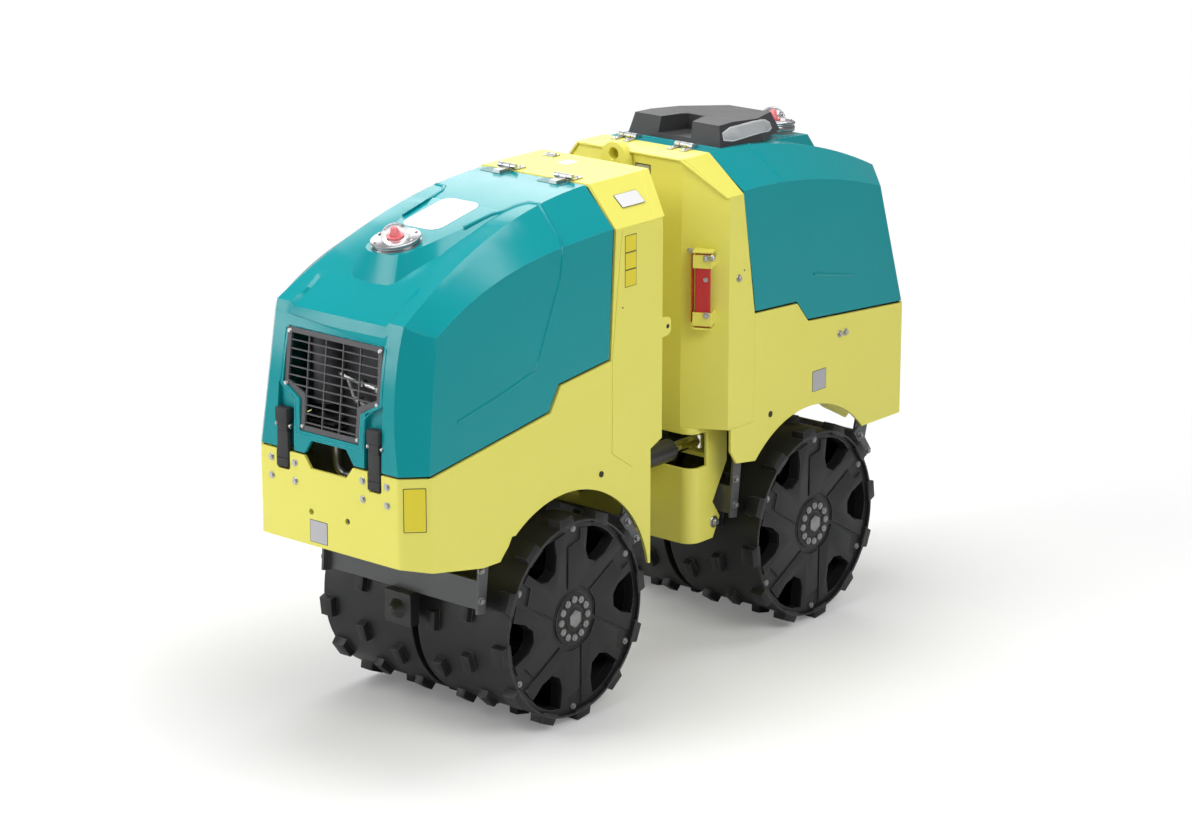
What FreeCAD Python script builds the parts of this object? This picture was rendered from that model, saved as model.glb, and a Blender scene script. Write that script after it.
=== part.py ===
import FreeCAD, Part
import math
import os
import re

import Sketcher
from FreeCAD import Placement, Rotation, Vector

# Articulated trench roller: two half frames joined by a steering pivot, each
# carried by a pair of padded drums and closed by a hood that hinges at the
# middle of the machine.  +X points forward, +Y to the machine's left, +Z up,
# and the origin lies on the ground below the middle of the machine.

doc = FreeCAD.newDocument("trench_roller")

# ---------------------------------------------------------------- driving sizes
SIZES = {
    # overall
    "overall_length": 2059,
    "overall_width": 640,
    "wheelbase": 1014.8,
    "axle_offset": 35.2,
    # drums
    "drum_radius": 280,
    "pad_height": 20,
    "pad_long": 58,
    "pad_wide": 30,
    "outer_pad_wide": 45,
    "pads_round": 12,
    "pad_lead": 7,
    "pad_stagger": 10,
    "middle_row": 180.95,
    "inner_row": 72.8,
    "shell_wall": 15,
    "shell_flats": 36,
    "drum_gap": 22,
    "rim_lip": 6,
    "disc_thick": 16,
    "disc_recess": 8,
    "disc_windows": 6,
    "window_root": 157,
    "window_bend": 180,
    "window_rim": 238,
    "window_crown": 4,
    "window_low_foot": -3,
    "window_high_foot": 9,
    "window_high_bend": 15,
    "window_high_rim": 17,
    "window_low_rim": -12,
    "window_low_bend": -10,
    "hub_radius": 72,
    "hub_length": 86,
    "hub_proud": 2,
    "hub_cap_radius": 21.5,
    "hub_bolts": 12,
    "hub_bolt_circle": 57,
    "hub_bolt_radius": 9,
    "hub_bolt_head": 5,
    "axle_radius": 35,
    "running_fit": 0.05,
    "axle_end_room": 24,
    "exciter_radius": 95,
    "exciter_half": 205,
    "carrier_thick": 10,
    "carrier_width": 260,
    "carrier_waist": 104,
    "carrier_foot_half": 40,
    "carrier_foot_high": 16,
    # sheet-metal frames
    "frame_width": 580,
    "sheet_wall": 8,
    "corner_chamfer": 57.5,
    "bend_radius": 16,
    "deck_height": 625,
    "arch_radius": 330,
    "tow_spacing": 123.4,
    "tow_height": 625,
    "tow_hole_radius": 8,
    # front frame's side view
    "bumper_low": 538,
    "bumper_top": 766,
    "sill_drop": 12,
    "sill_reach": 315.3,
    "sill_low": 492,
    "arch_lip_reach": 242.3,
    "arch_notch_reach": 208.3,
    "arch_notch_high": 547,
    "arch_tail_reach": 240.7,
    "arch_tail_high": 506,
    "front_rear_edge": 139,
    "tab_front": 186,
    "tab_front_low": 350,
    "tab_low": 337,
    "belt_step_x": 532.5,
    "belt_step_low": 832.5,
    "belt_bend_x": 493.5,
    "belt_bend_high": 895,
    "belt_high": 917.6,
    "dip_low": 736,
    "dip_half_low": 60,
    "dip_half_high": 83,
    # rear frame's side view
    "rear_low": 497,
    "rear_top": 817,
    "rear_sill_reach": 240.9,
    "flange_x": 309.5,
    "flange_low": 510,
    "flange_mid_x": 225,
    "flange_mid_low": 522,
    "flange_front_x": 198,
    "flange_front_low": 560,
    "rear_belt_step_x": 534.5,
    "rear_belt_step_low": 852,
    "rear_belt_bend_x": 483.5,
    "rear_belt_bend_high": 911,
    "rear_belt_high": 921,
    # covers over the middle of the machine
    "cover_top": 1352.6,
    "cover_shoulder": 1256,
    "cover_top_half": 180,
    "cover_rear": 26.5,
    "cover_corner": 95,
    "cover_front": 253.5,
    "cover_shoulder_slope": 25,
    "cover_belt_slope": 45.5,
    "cover_low": 668,
    "cover_tip_x": 214.5,
    "cover_tip_low": 617,
    "lug_height": 963,
    "lug_half": 16,
    "lug_reach": 24,
    "lug_hole": 7,
    "bulkhead_front": 124.5,
    "bulkhead_corner": 184.5,
    "bulkhead_top_half": 175,
    "bulkhead_rear": 234.5,
    "bulkhead_shoulder_slope": 8,
    "bulkhead_belt_slope": 62,
    "bulkhead_drop": 2,
    # hoods
    "hood_wall": 10,
    "hood_gap": 6,
    "hood_reach": 810,
    "hood_lean_radius": 1400,
    "hood_nose_inset": 2.5,
    "front_corner_back": 51,
    "front_corner_half": 213,
    "front_corner_high": 1134.5,
    "rear_corner_back": 91.5,
    "rear_corner_half": 213,
    "rear_corner_high": 1165,
    "hood_rows": 9,
    "mouth_high": 808,
    "mouth_half_low": 88,
    "mouth_half_high": 59,
    "spine_start_x": 520,
    "spine_start_half": 115,
    "spine_start_high": 1321,
    "spine_end_x": 866,
    "spine_end_half": 75,
    "spine_end_high": 1267,
    "spine_flank": 10,
    "spine_nose": 44,
    "spine_deep": 92,
    "rear_spine_start_x": 300,
    "rear_spine_start_half": 150,
    "rear_spine_start_high": 1350,
    "rear_spine_end_x": 795,
    "rear_spine_end_half": 82,
    "rear_spine_end_high": 1297,
    # grille
    "grille_top": 1078,
    "grille_low": 826,
    "grille_waist_high": 940,
    "grille_waist_low": 905,
    "grille_top_half": 160,
    "grille_waist_half": 164,
    "grille_foot_half": 104,
    "grille_low_half": 100,
    "grille_thick": 8,
    "grille_edge": 14,
    "grille_bar": 3,
    "grille_pitch": 22,
    "grille_upright_pitch": 58,
    "grille_lean": 6,
    # hinges and latches
    "hinge_rise": 9.4,
    "hinge_spacing": 192,
    "hinge_knuckle": 7,
    "hinge_pin": 3.5,
    "hinge_width": 60,
    "hinge_leaf": 40,
    "leaf_thick": 4,
    "latch_spacing": 310,
    "latch_wide": 40,
    "latch_drop": 48,
    "latch_rise": 110,
    "latch_waist": 68,
    "latch_thick": 14,
    "latch_proud": 6,
    "recess_wide": 72,
    "recess_rise": 172,
    "recess_slope": 30,
    "recess_deep": 16,
    # remote receivers
    "receiver_x": 772,
    "rear_receiver_x": 738,
    "receiver_radius": 64,
    "receiver_height": 16,
    "dome_radius": 37,
    # console on the rear hood
    "console_front": 305,
    "console_front_half": 161,
    "console_base_high": 1335,
    "console_top_front": 321,
    "console_top_half": 144,
    "console_top_high": 1405,
    "console_bend": 500,
    "console_tail": 632,
    "console_tail_half": 62,
    "console_tail_high": 1384,
    "console_flank": 22,
    "recess_front_half": 54,
    "recess_back": 405,
    "recess_back_half": 30,
    "recess_drop": 43,
    # scrapers and sensor
    "scraper_thick": 8,
    "scraper_half": 262,
    "scraper_reach": 288,
    "scraper_low": 88,
    "scraper_high": 165,
    "aft_scraper_radius": 296,
    "aft_scraper_half": 45,
    "aft_scraper_angle": 54,
    "aft_end_low": 285,
    "aft_end_high": 315,
    "sensor_gap": 6,
    "sensor_long": 34,
    "sensor_half": 44,
    "sensor_high": 88,
    "cone_radius": 26,
    "cone_tip_radius": 10,
    "cone_long": 26,
    # work pieces closed in by the hoods
    "engine_front": 904,
    "engine_long": 344,
    "engine_wide": 360,
    "engine_high": 430,
    "tank_front": 420,
    "tank_long": 420,
    "tank_wide": 400,
    "tank_high": 380,
    # pivot
    "pivot_x": -42,
    "pin_radius": 30,
    "pin_end": 8,
    "yoke_thick": 24,
    "yoke_drop": 113,
    "yoke_tall": 132,
    "yoke_half_width": 75,
    "yoke_back": 16,
    "tongue_radius": 62,
    "tongue_gap": 6,
    "tongue_web_half": 45,
    "nose_half_width": 216,
    "nose_low": 299,
    "nose_corner": 40,
    "nose_wall": 10,
    "nose_pocket_deep": 65,
    # steering cylinder
    "barrel_radius": 30,
    "rod_radius": 16,
    "cylinder_y": 150,
    "cylinder_drop": 65,
    "cylinder_foot_x": 250,
    "cylinder_eye_x": -240,
    "barrel_length": 360,
    "barrel_neck": 30,
    "eye_radius": 28,
    "eye_half": 20,
    "eye_pin_radius": 12,
    "eye_pin_half": 26,
    "rod_eye_radius": 24,
    "rod_eye_half": 18,
    "rod_tip_back": 135,
    "ear_gap": 1.5,
    "ear_thick": 12,
    "foot_half": 40,
    "foot_thick": 10,
    # lifting hoop and steering lock
    "hoop_y": -35,
    "hoop_half": 45,
    "hoop_low": 1296,
    "hoop_high": 1374,
    "hoop_thick": 26,
    "hoop_hole_high": 1342,
    "hoop_hole_radius": 16,
    "lock_low": 912,
    "lock_high": 1112,
    "lock_wide": 40,
    "lock_thick": 10,
    "lock_gap": 24,
    "bracket_wide": 52,
    "bracket_deep": 40,
    "bracket_high": 36,
}

# Places worked out from the sizes, spelled out in full wherever a formula uses them.
PLACES = {
    "nose": "overall_length / 2",
    "half_width": "overall_width / 2",
    "side": "frame_width / 2",
    "inside": "side - sheet_wall",
    "beyond": "side + 1",
    "chamfer_x": "nose - corner_chamfer",
    "nose_half": "side - corner_chamfer",
    "front_axle": "wheelbase / 2 - axle_offset",
    "rear_axle": "-wheelbase / 2 - axle_offset",
    "shell_radius": "drum_radius - pad_height",
    "disc_radius": "shell_radius - rim_lip",
    "disc_face": "half_width - disc_recess",
    "disc_back": "disc_face - disc_thick",
    "hub_face": "disc_face + hub_proud",
    "hub_back": "hub_face - hub_length",
    "hood_nose": "nose - hood_nose_inset",
    "front_belt_x": "cover_front + cover_belt_slope",
    "rear_belt_x": "bulkhead_rear + bulkhead_belt_slope",
    "hinge_height": "cover_top + hinge_rise",
    "recess_floor": "console_top_high - recess_drop",
    "cylinder_z": "deck_height - cylinder_drop",
    "yoke_high": "deck_height - yoke_drop",
    "yoke_low": "yoke_high - yoke_tall",
    "bulkhead_low": "deck_height - bulkhead_drop",
    "tongue_low": "yoke_low + yoke_thick + tongue_gap",
    "tongue_high": "yoke_high - yoke_thick - tongue_gap",
    "deck_top": "deck_height + sheet_wall",
    "tail_edge_high": (
        "cover_low - (cover_low - cover_tip_low)"
        " * (front_rear_edge - cover_corner) / (cover_tip_x - cover_corner)"
    ),
}

sheet = doc.addObject("Spreadsheet::Sheet", "Sizes")
for row, (alias, number) in enumerate(SIZES.items(), start=1):
    sheet.set(f"A{row}", alias)
    sheet.set(f"B{row}", str(number))
    sheet.setAlias(f"B{row}", alias)
doc.recompute()


def formula(text):
    """An expression in FreeCAD's own words, from one in the names of sizes and places."""

    def spelled(match):
        word = match.group(0)
        if word in SIZES:
            return f"Sizes.{word}"
        return f"({formula(PLACES[word])})" if word in PLACES else word

    return re.sub(r"[a-z_]+", spelled, str(text))


def size(text):
    """The number that a size, a place or a formula of them has now, in millimetres."""
    found = sheet.evalExpression(formula(text))
    return float(getattr(found, "Value", found))


nodes = []


def node(label, item):
    """Names a finished sub-part, which is written to a file of its own."""
    item.Label = label
    nodes.append(item)
    return item


# ---------------------------------------------------------------- bound primitives
ALONG_X = Rotation(Vector(0, 1, 0), 90)
ALONG_Y = Rotation(Vector(1, 0, 0), -90)
ALONG_Z = Rotation()
VIEWS = {
    "plan": (ALONG_Z, Vector(0, 0, 1), "z"),
    "side": (Rotation(Vector(1, 0, 0), 90), Vector(0, 1, 0), "y"),
    "front": (Rotation(Vector(1, 1, 1), 120), Vector(1, 0, 0), "x"),
}


def block(x0, x1, y0, y1, z0, z1):
    """Box between two corners."""
    item = doc.addObject("Part::Box", "Block")
    for side_name, axis, low, high in (("Length", "x", x0, x1), ("Width", "y", y0, y1), ("Height", "z", z0, z1)):
        item.setExpression(side_name, formula(f"({high}) - ({low})"))
        item.setExpression(f"Placement.Base.{axis}", formula(low))
    return item


def bar(turn, radius, x, y, z, length):
    """Round bar from a point, along the axis that the turn gives."""
    item = doc.addObject("Part::Cylinder", "Bar")
    item.Placement = Placement(Vector(), turn)
    item.setExpression("Radius", formula(radius))
    item.setExpression("Height", formula(length))
    for axis, place in zip("xyz", (x, y, z)):
        item.setExpression(f"Placement.Base.{axis}", formula(place))
    return item


def draw(sketch, outline):
    """Draws a closed outline or a (radius, x, y) circle, each number bound by a constraint."""
    if isinstance(outline, tuple):
        radius, across, up = outline
        sketch.addGeometry(Part.Circle(Vector(size(across), size(up), 0), Vector(0, 0, 1), size(radius)), False)
        bind_point(sketch, 0, 3, across, up)
        place = sketch.addConstraint(Sketcher.Constraint("Radius", 0, size(radius)))
        sketch.setExpression(f"Constraints[{place}]", formula(radius))
        return
    corners = [Vector(size(across), size(up), 0) for across, up in outline]
    count = len(corners)
    for index in range(count):
        sketch.addGeometry(Part.LineSegment(corners[index], corners[(index + 1) % count]), False)
    for index, (across, up) in enumerate(outline):
        sketch.addConstraint(Sketcher.Constraint("Coincident", index, 2, (index + 1) % count, 1))
        bind_point(sketch, index, 1, across, up)


def bind_point(sketch, geometry, end, across, up):
    """Holds one point of a sketch at two bound distances from the sketch's origin."""
    for kind, text in (("DistanceX", across), ("DistanceY", up)):
        place = sketch.addConstraint(Sketcher.Constraint(kind, -1, 1, geometry, end, size(text)))
        sketch.setExpression(f"Constraints[{place}]", formula(text))


def slab(view, outline, start, end):
    """Outline seen in the plan, side or front view, extruded between two planes."""
    turn, direction, axis = VIEWS[view]
    sketch = doc.addObject("Sketcher::SketchObject", "Outline")
    sketch.Placement = Placement(Vector(), turn)
    sketch.setExpression(f"Placement.Base.{axis}", formula(start))
    draw(sketch, outline)
    item = doc.addObject("Part::Extrusion", "Slab")
    item.Base = sketch
    item.DirMode = "Custom"
    item.Dir = direction
    item.Solid = True
    item.setExpression("LengthFwd", formula(f"({end}) - ({start})"))
    return item


def shape_of(kind, label, shapes):
    item = doc.addObject(kind, label)
    item.Shapes = shapes
    if hasattr(item, "Refine"):
        item.Refine = True
    return item


def fused(shapes):
    return shape_of("Part::MultiFuse", "Fused", shapes) if len(shapes) > 1 else shapes[0]


def common(shapes):
    return shape_of("Part::MultiCommon", "Common", shapes)


def cut(base, tools):
    item = doc.addObject("Part::Cut", "Cut")
    item.Base = base
    item.Tool = fused(tools)
    item.Refine = True
    return item


def mirrored(source):
    """Mirror image across the machine's middle plane."""
    item = doc.addObject("Part::Mirroring", "Mirrored")
    item.Source = source
    item.Normal = Vector(0, 1, 0)
    return item


def both_sides(source):
    return [source, mirrored(source)]


def group(items):
    item = doc.addObject("Part::Compound", "Group")
    item.Links = items
    return item


def turned(source, axis, angle, x, y, z):
    """Copy turned about an axis through the origin, then set down at a place."""
    item = group([source])
    item.Placement = Placement(Vector(), Rotation(axis, 1))
    item.setExpression("Placement.Rotation.Angle", formula(angle))
    for name, place in zip("xyz", (x, y, z)):
        item.setExpression(f"Placement.Base.{name}", formula(place))
    return item


def made(shape):
    """Sub-part whose shape is worked out with Part's own functions."""
    item = doc.addObject("Part::Feature", "Made")
    item.Shape = shape
    return item


def mirrored_outline(half):
    """Closed outline from its left half, listed from one end to the other."""
    return half + [(x, f"-({y})") for x, y in reversed(half)]


def mirrored_front(half):
    """Closed front outline from its left half, listed from one end to the other."""
    return half + [(f"-({y})", z) for y, z in reversed(half)]


# ---------------------------------------------------------------- bodies with a history
def origin_feature(body, role):
    return next(item for item in body.Origin.OriginFeatures if item.Role == role)


def body_sketch(body, view, outline, start):
    """Sketch on one of the body's own planes, set off from it."""
    role = {"plan": "XY_Plane", "side": "XZ_Plane", "front": "YZ_Plane"}[view]
    sketch = body.newObject("Sketcher::SketchObject", "Sketch")
    sketch.AttachmentSupport = (origin_feature(body, role), [""])
    sketch.MapMode = "FlatFace"
    sign = "-" if view == "side" else ""
    sketch.setExpression("AttachmentOffset.Base.z", formula(f"{sign}({start})"))
    draw(sketch, outline)
    return sketch


def pad(body, view, outline, start, end):
    """Adds material between two planes of a view."""
    sketch = body_sketch(body, view, outline, start)
    item = body.newObject("PartDesign::Pad", "Pad")
    item.Profile = sketch
    item.Reversed = view == "side"
    item.setExpression("Length", formula(f"({end}) - ({start})"))
    return item


def pocket(body, view, outline, start, end):
    """Takes material away between two planes of a view."""
    sketch = body_sketch(body, view, outline, start)
    item = body.newObject("PartDesign::Pocket", "Pocket")
    item.Profile = sketch
    item.Reversed = view != "side"
    item.setExpression("Length", formula(f"({end}) - ({start})"))
    return item


def repeated(body, feature, role, count):
    """Repeats a feature evenly round one of the body's axes."""
    item = body.newObject("PartDesign::PolarPattern", "Repeated")
    item.Originals = [feature]
    item.Axis = (origin_feature(body, role), [""])
    item.Angle = 360
    item.setExpression("Occurrences", formula(count))
    body.Tip = item
    return item


def both_hands(body, features):
    """Repeats features on the other side of the machine's middle plane."""
    item = body.newObject("PartDesign::Mirrored", "BothHands")
    item.Originals = features
    item.MirrorPlane = (origin_feature(body, "XZ_Plane"), [""])
    body.Tip = item
    return item


def rounded_bends(body, places):
    """Rounds the upright edges of the body so far that stand at the given (x, y) places."""
    doc.recompute()
    base = body.Tip
    names = []
    for index, edge in enumerate(base.Shape.Edges, start=1):
        start, end = edge.Vertexes[0].Point, edge.Vertexes[-1].Point
        upright = math.hypot(start.x - end.x, start.y - end.y) < 0.01
        if upright and any(math.hypot(start.x - size(x), start.y - size(y)) < 0.01 for x, y in places):
            names.append(f"Edge{index}")
    item = body.newObject("PartDesign::Fillet", "Bends")
    item.Base = (base, names)
    item.setExpression("Radius", formula("bend_radius"))
    return item


# ---------------------------------------------------------------- drums
def drum_shell():
    """Left drum's shell: a rolled ring with a rim lip and three staggered rows of pads."""
    body = doc.addObject("PartDesign::Body", "DrumShell")
    flats = int(size("shell_flats"))
    turn = 360 / flats

    def ring(radius):
        corner = f"({radius}) / cos({turn / 2}deg)"
        angles = [f"({turn * (index + 0.5)} + pad_lead) * 1deg" for index in range(flats)]
        return [(f"{corner} * cos({angle})", f"{corner} * sin({angle})") for angle in angles]

    pad(body, "side", ring("shell_radius"), "drum_gap / 2", "half_width")
    pocket(body, "side", ring("shell_radius - shell_wall"), "drum_gap / 2", "half_width")
    pocket(body, "side", ring("disc_radius"), "disc_back", "half_width")
    rows = (
        ("half_width - outer_pad_wide / 2", "outer_pad_wide", "pad_lead"),
        ("middle_row", "pad_wide", "pad_lead + pad_stagger"),
        ("inner_row", "pad_wide", "pad_lead - pad_stagger"),
    )
    for middle, across, lead in rows:
        outline = [
            ("pad_long / 2", f"({middle}) + {across} / 2"),
            ("-pad_long / 2", f"({middle}) + {across} / 2"),
            ("-pad_long / 2", f"({middle}) - {across} / 2"),
            ("pad_long / 2", f"({middle}) - {across} / 2"),
        ]
        root = "shell_radius - rim_lip / 2"
        top = "sqrt(drum_radius ^ 2 - pad_long ^ 2 / 4)"
        tooth = pad(body, "plan", outline, root, top)
        offset = tooth.Profile[0]
        offset.AttachmentOffset = Placement(Vector(), Rotation(Vector(0, 1, 0), 1))
        offset.setExpression("AttachmentOffset.Rotation.Angle", formula(f"-({lead})"))
        offset.setExpression("AttachmentOffset.Base.x", formula(f"-({root}) * sin(({lead}) * 1deg)"))
        offset.setExpression("AttachmentOffset.Base.z", formula(f"({root}) * cos(({lead}) * 1deg)"))
        repeated(body, tooth, "Y_Axis", "pads_round")
    return body


def drum_disc():
    """Cast disc with a window between each two spokes."""
    body = doc.addObject("PartDesign::Body", "DrumDisc")
    pad(body, "side", ("disc_radius", 0, 0), "disc_back", "disc_face")
    pocket(body, "side", ("hub_radius", 0, 0), "disc_back", "disc_face")
    corners = (
        ("window_root", "window_low_foot"),
        ("window_root", "window_high_foot"),
        ("window_bend", "window_high_bend"),
        ("window_rim", "window_high_rim"),
        ("window_rim + window_crown", "(window_high_rim + window_low_rim) / 2"),
        ("window_rim", "window_low_rim"),
        ("window_bend", "window_low_bend"),
    )
    outline = [(f"-({radius}) * cos(({angle}) * 1deg)", f"({radius}) * sin(({angle}) * 1deg)") for radius, angle in corners]
    window = pocket(body, "side", outline, "disc_back", "disc_face")
    repeated(body, window, "Y_Axis", "disc_windows")
    return body


def drum_hub():
    """Bearing hub with its ring of bolts and a short end cap."""
    body = doc.addObject("PartDesign::Body", "DrumHub")
    pad(body, "side", ("hub_radius", 0, 0), "hub_back", "hub_face")
    pocket(body, "side", ("axle_radius + running_fit", 0, 0), "hub_back", "hub_face - sheet_wall")
    pad(body, "side", ("hub_cap_radius", 0, 0), "hub_face", "half_width")
    bolt = pad(body, "side", ("hub_bolt_radius", "hub_bolt_circle", 0), "hub_face", "hub_face + hub_bolt_head")
    repeated(body, bolt, "Y_Axis", "hub_bolts")
    return body


def drums():
    """Four drums from one left-hand pattern, mirrored for the right."""
    pattern = (("drum_shell", drum_shell()), ("drum_disc", drum_disc()), ("drum_hub", drum_hub()))
    for piece, left in pattern:
        for hand, item in zip(("left", "right"), both_sides(left)):
            for end in ("front", "rear"):
                node(f"{end}_{hand}_{piece}", turned(item, Vector(0, 1, 0), 0, f"{end}_axle", 0, "drum_radius"))


# ---------------------------------------------------------------- axle carriers
def axle_carrier(axle):
    """Plate between the two drums with the exciter housing and the fixed axle."""
    body = doc.addObject("PartDesign::Body", "AxleCarrier")
    plate = [
        (f"{axle} - carrier_width / 2", "deck_height"),
        (f"{axle} + carrier_width / 2", "deck_height"),
        (f"{axle} + carrier_waist", "drum_radius"),
        (f"{axle} - carrier_waist", "drum_radius"),
    ]
    foot = [
        (f"{axle} - carrier_width / 2", "deck_height - carrier_foot_high"),
        (f"{axle} + carrier_width / 2", "deck_height - carrier_foot_high"),
        (f"{axle} + carrier_width / 2", "deck_height"),
        (f"{axle} - carrier_width / 2", "deck_height"),
    ]
    layers = (
        (plate, "carrier_thick / 2"),
        (("carrier_waist", axle, "drum_radius"), "carrier_thick / 2"),
        (("exciter_radius", axle, "drum_radius"), "exciter_half"),
        (("axle_radius", axle, "drum_radius"), "half_width - axle_end_room"),
        (foot, "carrier_foot_half"),
    )
    for outline, half in layers:
        pad(body, "side", outline, f"-({half})", half)
    return body


# ---------------------------------------------------------------- front frame
def sheet_ring(body, direction, tail, low, high, bottom):
    """Upright sheet that runs along one side, across the end with two bevelled corners, and back."""
    sign = "-" if direction < 0 else ""

    def plan(inset):
        step = f"({inset}) * tan(22.5deg)"
        return mirrored_outline(
            [
                (f"{sign}(nose - ({inset}))", f"nose_half - {step}"),
                (f"{sign}(chamfer_x - {step})", f"side - ({inset})"),
                (f"{tail} - ({inset}) * {direction}", f"side - ({inset})"),
            ]
        )

    pad(body, "plan", plan(0), low, high)
    corners = [(f"{sign}nose", "nose_half"), (f"{sign}chamfer_x", "side")]
    rounded_bends(body, corners + [(x, f"-({y})") for x, y in corners])
    pocket(body, "plan", plan("sheet_wall"), bottom, high)


def end_wall_holes(body, direction, top):
    """Two holes for tow shackles and two slots for the hood's latches in an end wall."""
    x0, x1 = ("nose - 2 * sheet_wall", "nose + 1") if direction > 0 else ("-nose - 1", "-nose + 2 * sheet_wall")
    hole = pocket(body, "front", ("tow_hole_radius", "tow_spacing / 2", "tow_height"), x0, x1)
    half = "latch_wide / 2 + hood_gap / 2"
    slot = [
        (f"latch_spacing / 2 - ({half})", f"{top} + 1"),
        (f"latch_spacing / 2 - ({half})", f"{top} - latch_drop + hood_gap"),
        (f"latch_spacing / 2 - ({half}) + hood_gap", f"{top} - latch_drop"),
        (f"latch_spacing / 2 + ({half}) - hood_gap", f"{top} - latch_drop"),
        (f"latch_spacing / 2 + ({half})", f"{top} - latch_drop + hood_gap"),
        (f"latch_spacing / 2 + ({half})", f"{top} + 1"),
    ]
    both_hands(body, [hole, pocket(body, "front", slot, x0, x1)])


def front_frame():
    """Front chassis: side plates, bumper, the deck above the drums and the pivot's end wall."""
    body = doc.addObject("PartDesign::Body", "FrontFrame")
    sheet_ring(body, 1, "front_rear_edge", "tab_low", "belt_high", "tab_low")
    above = [
        ("front_rear_edge - 1", "tail_edge_high"),
        ("front_rear_edge", "tail_edge_high"),
        ("cover_tip_x", "cover_tip_low"),
        ("cover_front + 41", "cover_low"),
        ("front_belt_x", "belt_high"),
        ("belt_bend_x", "belt_bend_high"),
        ("belt_step_x", "belt_step_low"),
        ("chamfer_x", "bumper_top"),
        ("nose + 1", "bumper_top"),
        ("nose + 1", "belt_high + 1"),
        ("front_rear_edge - 1", "belt_high + 1"),
    ]
    below = [
        ("nose + 1", "bumper_low"),
        ("chamfer_x", "bumper_low - sill_drop"),
        ("front_axle + sill_reach", "sill_low"),
        ("front_axle + arch_lip_reach", "sill_low"),
        ("front_axle + arch_notch_reach", "arch_notch_high"),
        ("front_axle - arch_tail_reach", "arch_tail_high"),
        ("tab_front", "tab_front_low"),
        ("front_rear_edge", "tab_low"),
        ("front_rear_edge", "tab_low - 1"),
        ("nose + 1", "tab_low - 1"),
    ]
    pocket(body, "side", above, "-beyond", "beyond")
    pocket(body, "side", below, "-beyond", "beyond")
    pocket(body, "side", ("arch_radius", "front_axle", "drum_radius"), "-beyond", "beyond")
    dip = mirrored_front([("dip_half_low", "dip_low"), ("dip_half_high", "bumper_top + 1")])
    pocket(body, "front", dip, "nose - 2 * sheet_wall", "nose + 1")
    deck = [
        ("front_rear_edge", "-inside"),
        ("chamfer_x - sheet_wall", "-inside"),
        ("chamfer_x - sheet_wall", "inside"),
        ("front_rear_edge", "inside"),
    ]
    pad(body, "plan", deck, "deck_height", "deck_top")
    wall = [
        ("inside", "yoke_high - sheet_wall * 8"),
        ("inside", "tail_edge_high - sheet_wall"),
        ("-inside", "tail_edge_high - sheet_wall"),
        ("-inside", "yoke_high - sheet_wall * 8"),
        ("-yoke_half_width * 2", "yoke_low - yoke_back"),
        ("yoke_half_width * 2", "yoke_low - yoke_back"),
    ]
    pad(body, "front", wall, "front_rear_edge", "front_rear_edge + sheet_wall")
    window = [
        ("cylinder_y - 2.5 * barrel_radius", "cylinder_z - 1.5 * barrel_radius"),
        ("cylinder_y + 2.5 * barrel_radius", "cylinder_z - 1.5 * barrel_radius"),
        ("cylinder_y + 2.5 * barrel_radius", "cylinder_z + 1.5 * barrel_radius"),
        ("cylinder_y - 2.5 * barrel_radius", "cylinder_z + 1.5 * barrel_radius"),
    ]
    pocket(body, "front", window, "front_rear_edge - 1", "front_rear_edge + sheet_wall + 1")
    end_wall_holes(body, 1, "bumper_top")
    return body


# ---------------------------------------------------------------- covers over the middle
def shouldered(inset, start, end, low, top_half):
    """Front outline of the middle of the machine: flat top, sloped shoulders, upright sides."""
    half = [
        (f"side - ({inset})", low),
        (f"side - ({inset})", f"cover_shoulder - ({inset}) * 0.4"),
        (f"{top_half} - ({inset}) * 0.4", f"cover_top - ({inset})"),
    ]
    return slab("front", mirrored_front(half), start, end)


def front_cover():
    """Hollow cover over the back of the front half, open towards the hood."""

    def form(inset):
        reach = "cover_front + 100"
        floor = f"cover_tip_low - ({inset})"
        plan = [
            (reach, f"side - ({inset})"),
            (f"cover_corner + ({inset}) * 0.5", f"side - ({inset})"),
            (f"cover_rear + ({inset})", f"cover_top_half - ({inset}) * 0.5"),
        ]
        upright = slab("plan", mirrored_outline(plan), floor, "cover_top + 1")
        return common([upright, shouldered(inset, "cover_rear - 1", reach, floor, "cover_top_half")])

    profile = slab(
        "side",
        [
            ("cover_rear - 1", "cover_low"),
            ("cover_corner", "cover_low"),
            ("cover_tip_x", "cover_tip_low"),
            ("cover_front + 41", "cover_low"),
            ("front_belt_x", "belt_high"),
            ("cover_front + cover_shoulder_slope", "cover_shoulder + 7"),
            ("cover_front", "cover_top + 1"),
            ("cover_rear - 1", "cover_top + 1"),
        ],
        "-beyond",
        "beyond",
    )
    shell = cut(common([form(0), profile]), [form("sheet_wall")])
    floor_plan = [
        ("front_rear_edge", "inside"),
        ("cover_corner + sheet_wall", "inside"),
        ("cover_rear + sheet_wall", "cover_top_half - sheet_wall"),
    ]
    floor = slab("plan", mirrored_outline(floor_plan), "cover_low", "cover_low + sheet_wall")
    lug = slab(
        "side",
        [
            ("cover_corner + sheet_wall", "lug_height - lug_half * 1.5"),
            ("cover_corner - lug_reach + lug_half", "lug_height - lug_half"),
            ("cover_corner - lug_reach", "lug_height"),
            ("cover_corner - lug_reach + lug_half", "lug_height + lug_half"),
            ("cover_corner + sheet_wall", "lug_height + lug_half * 1.5"),
        ],
        "side - sheet_wall",
        "side",
    )
    eye = bar(ALONG_Y, "lug_hole", "cover_corner - lug_reach / 2", "side - sheet_wall - 1", "lug_height", "sheet_wall + 2")
    return fused([shell, floor, cut(lug, [eye])])


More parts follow.
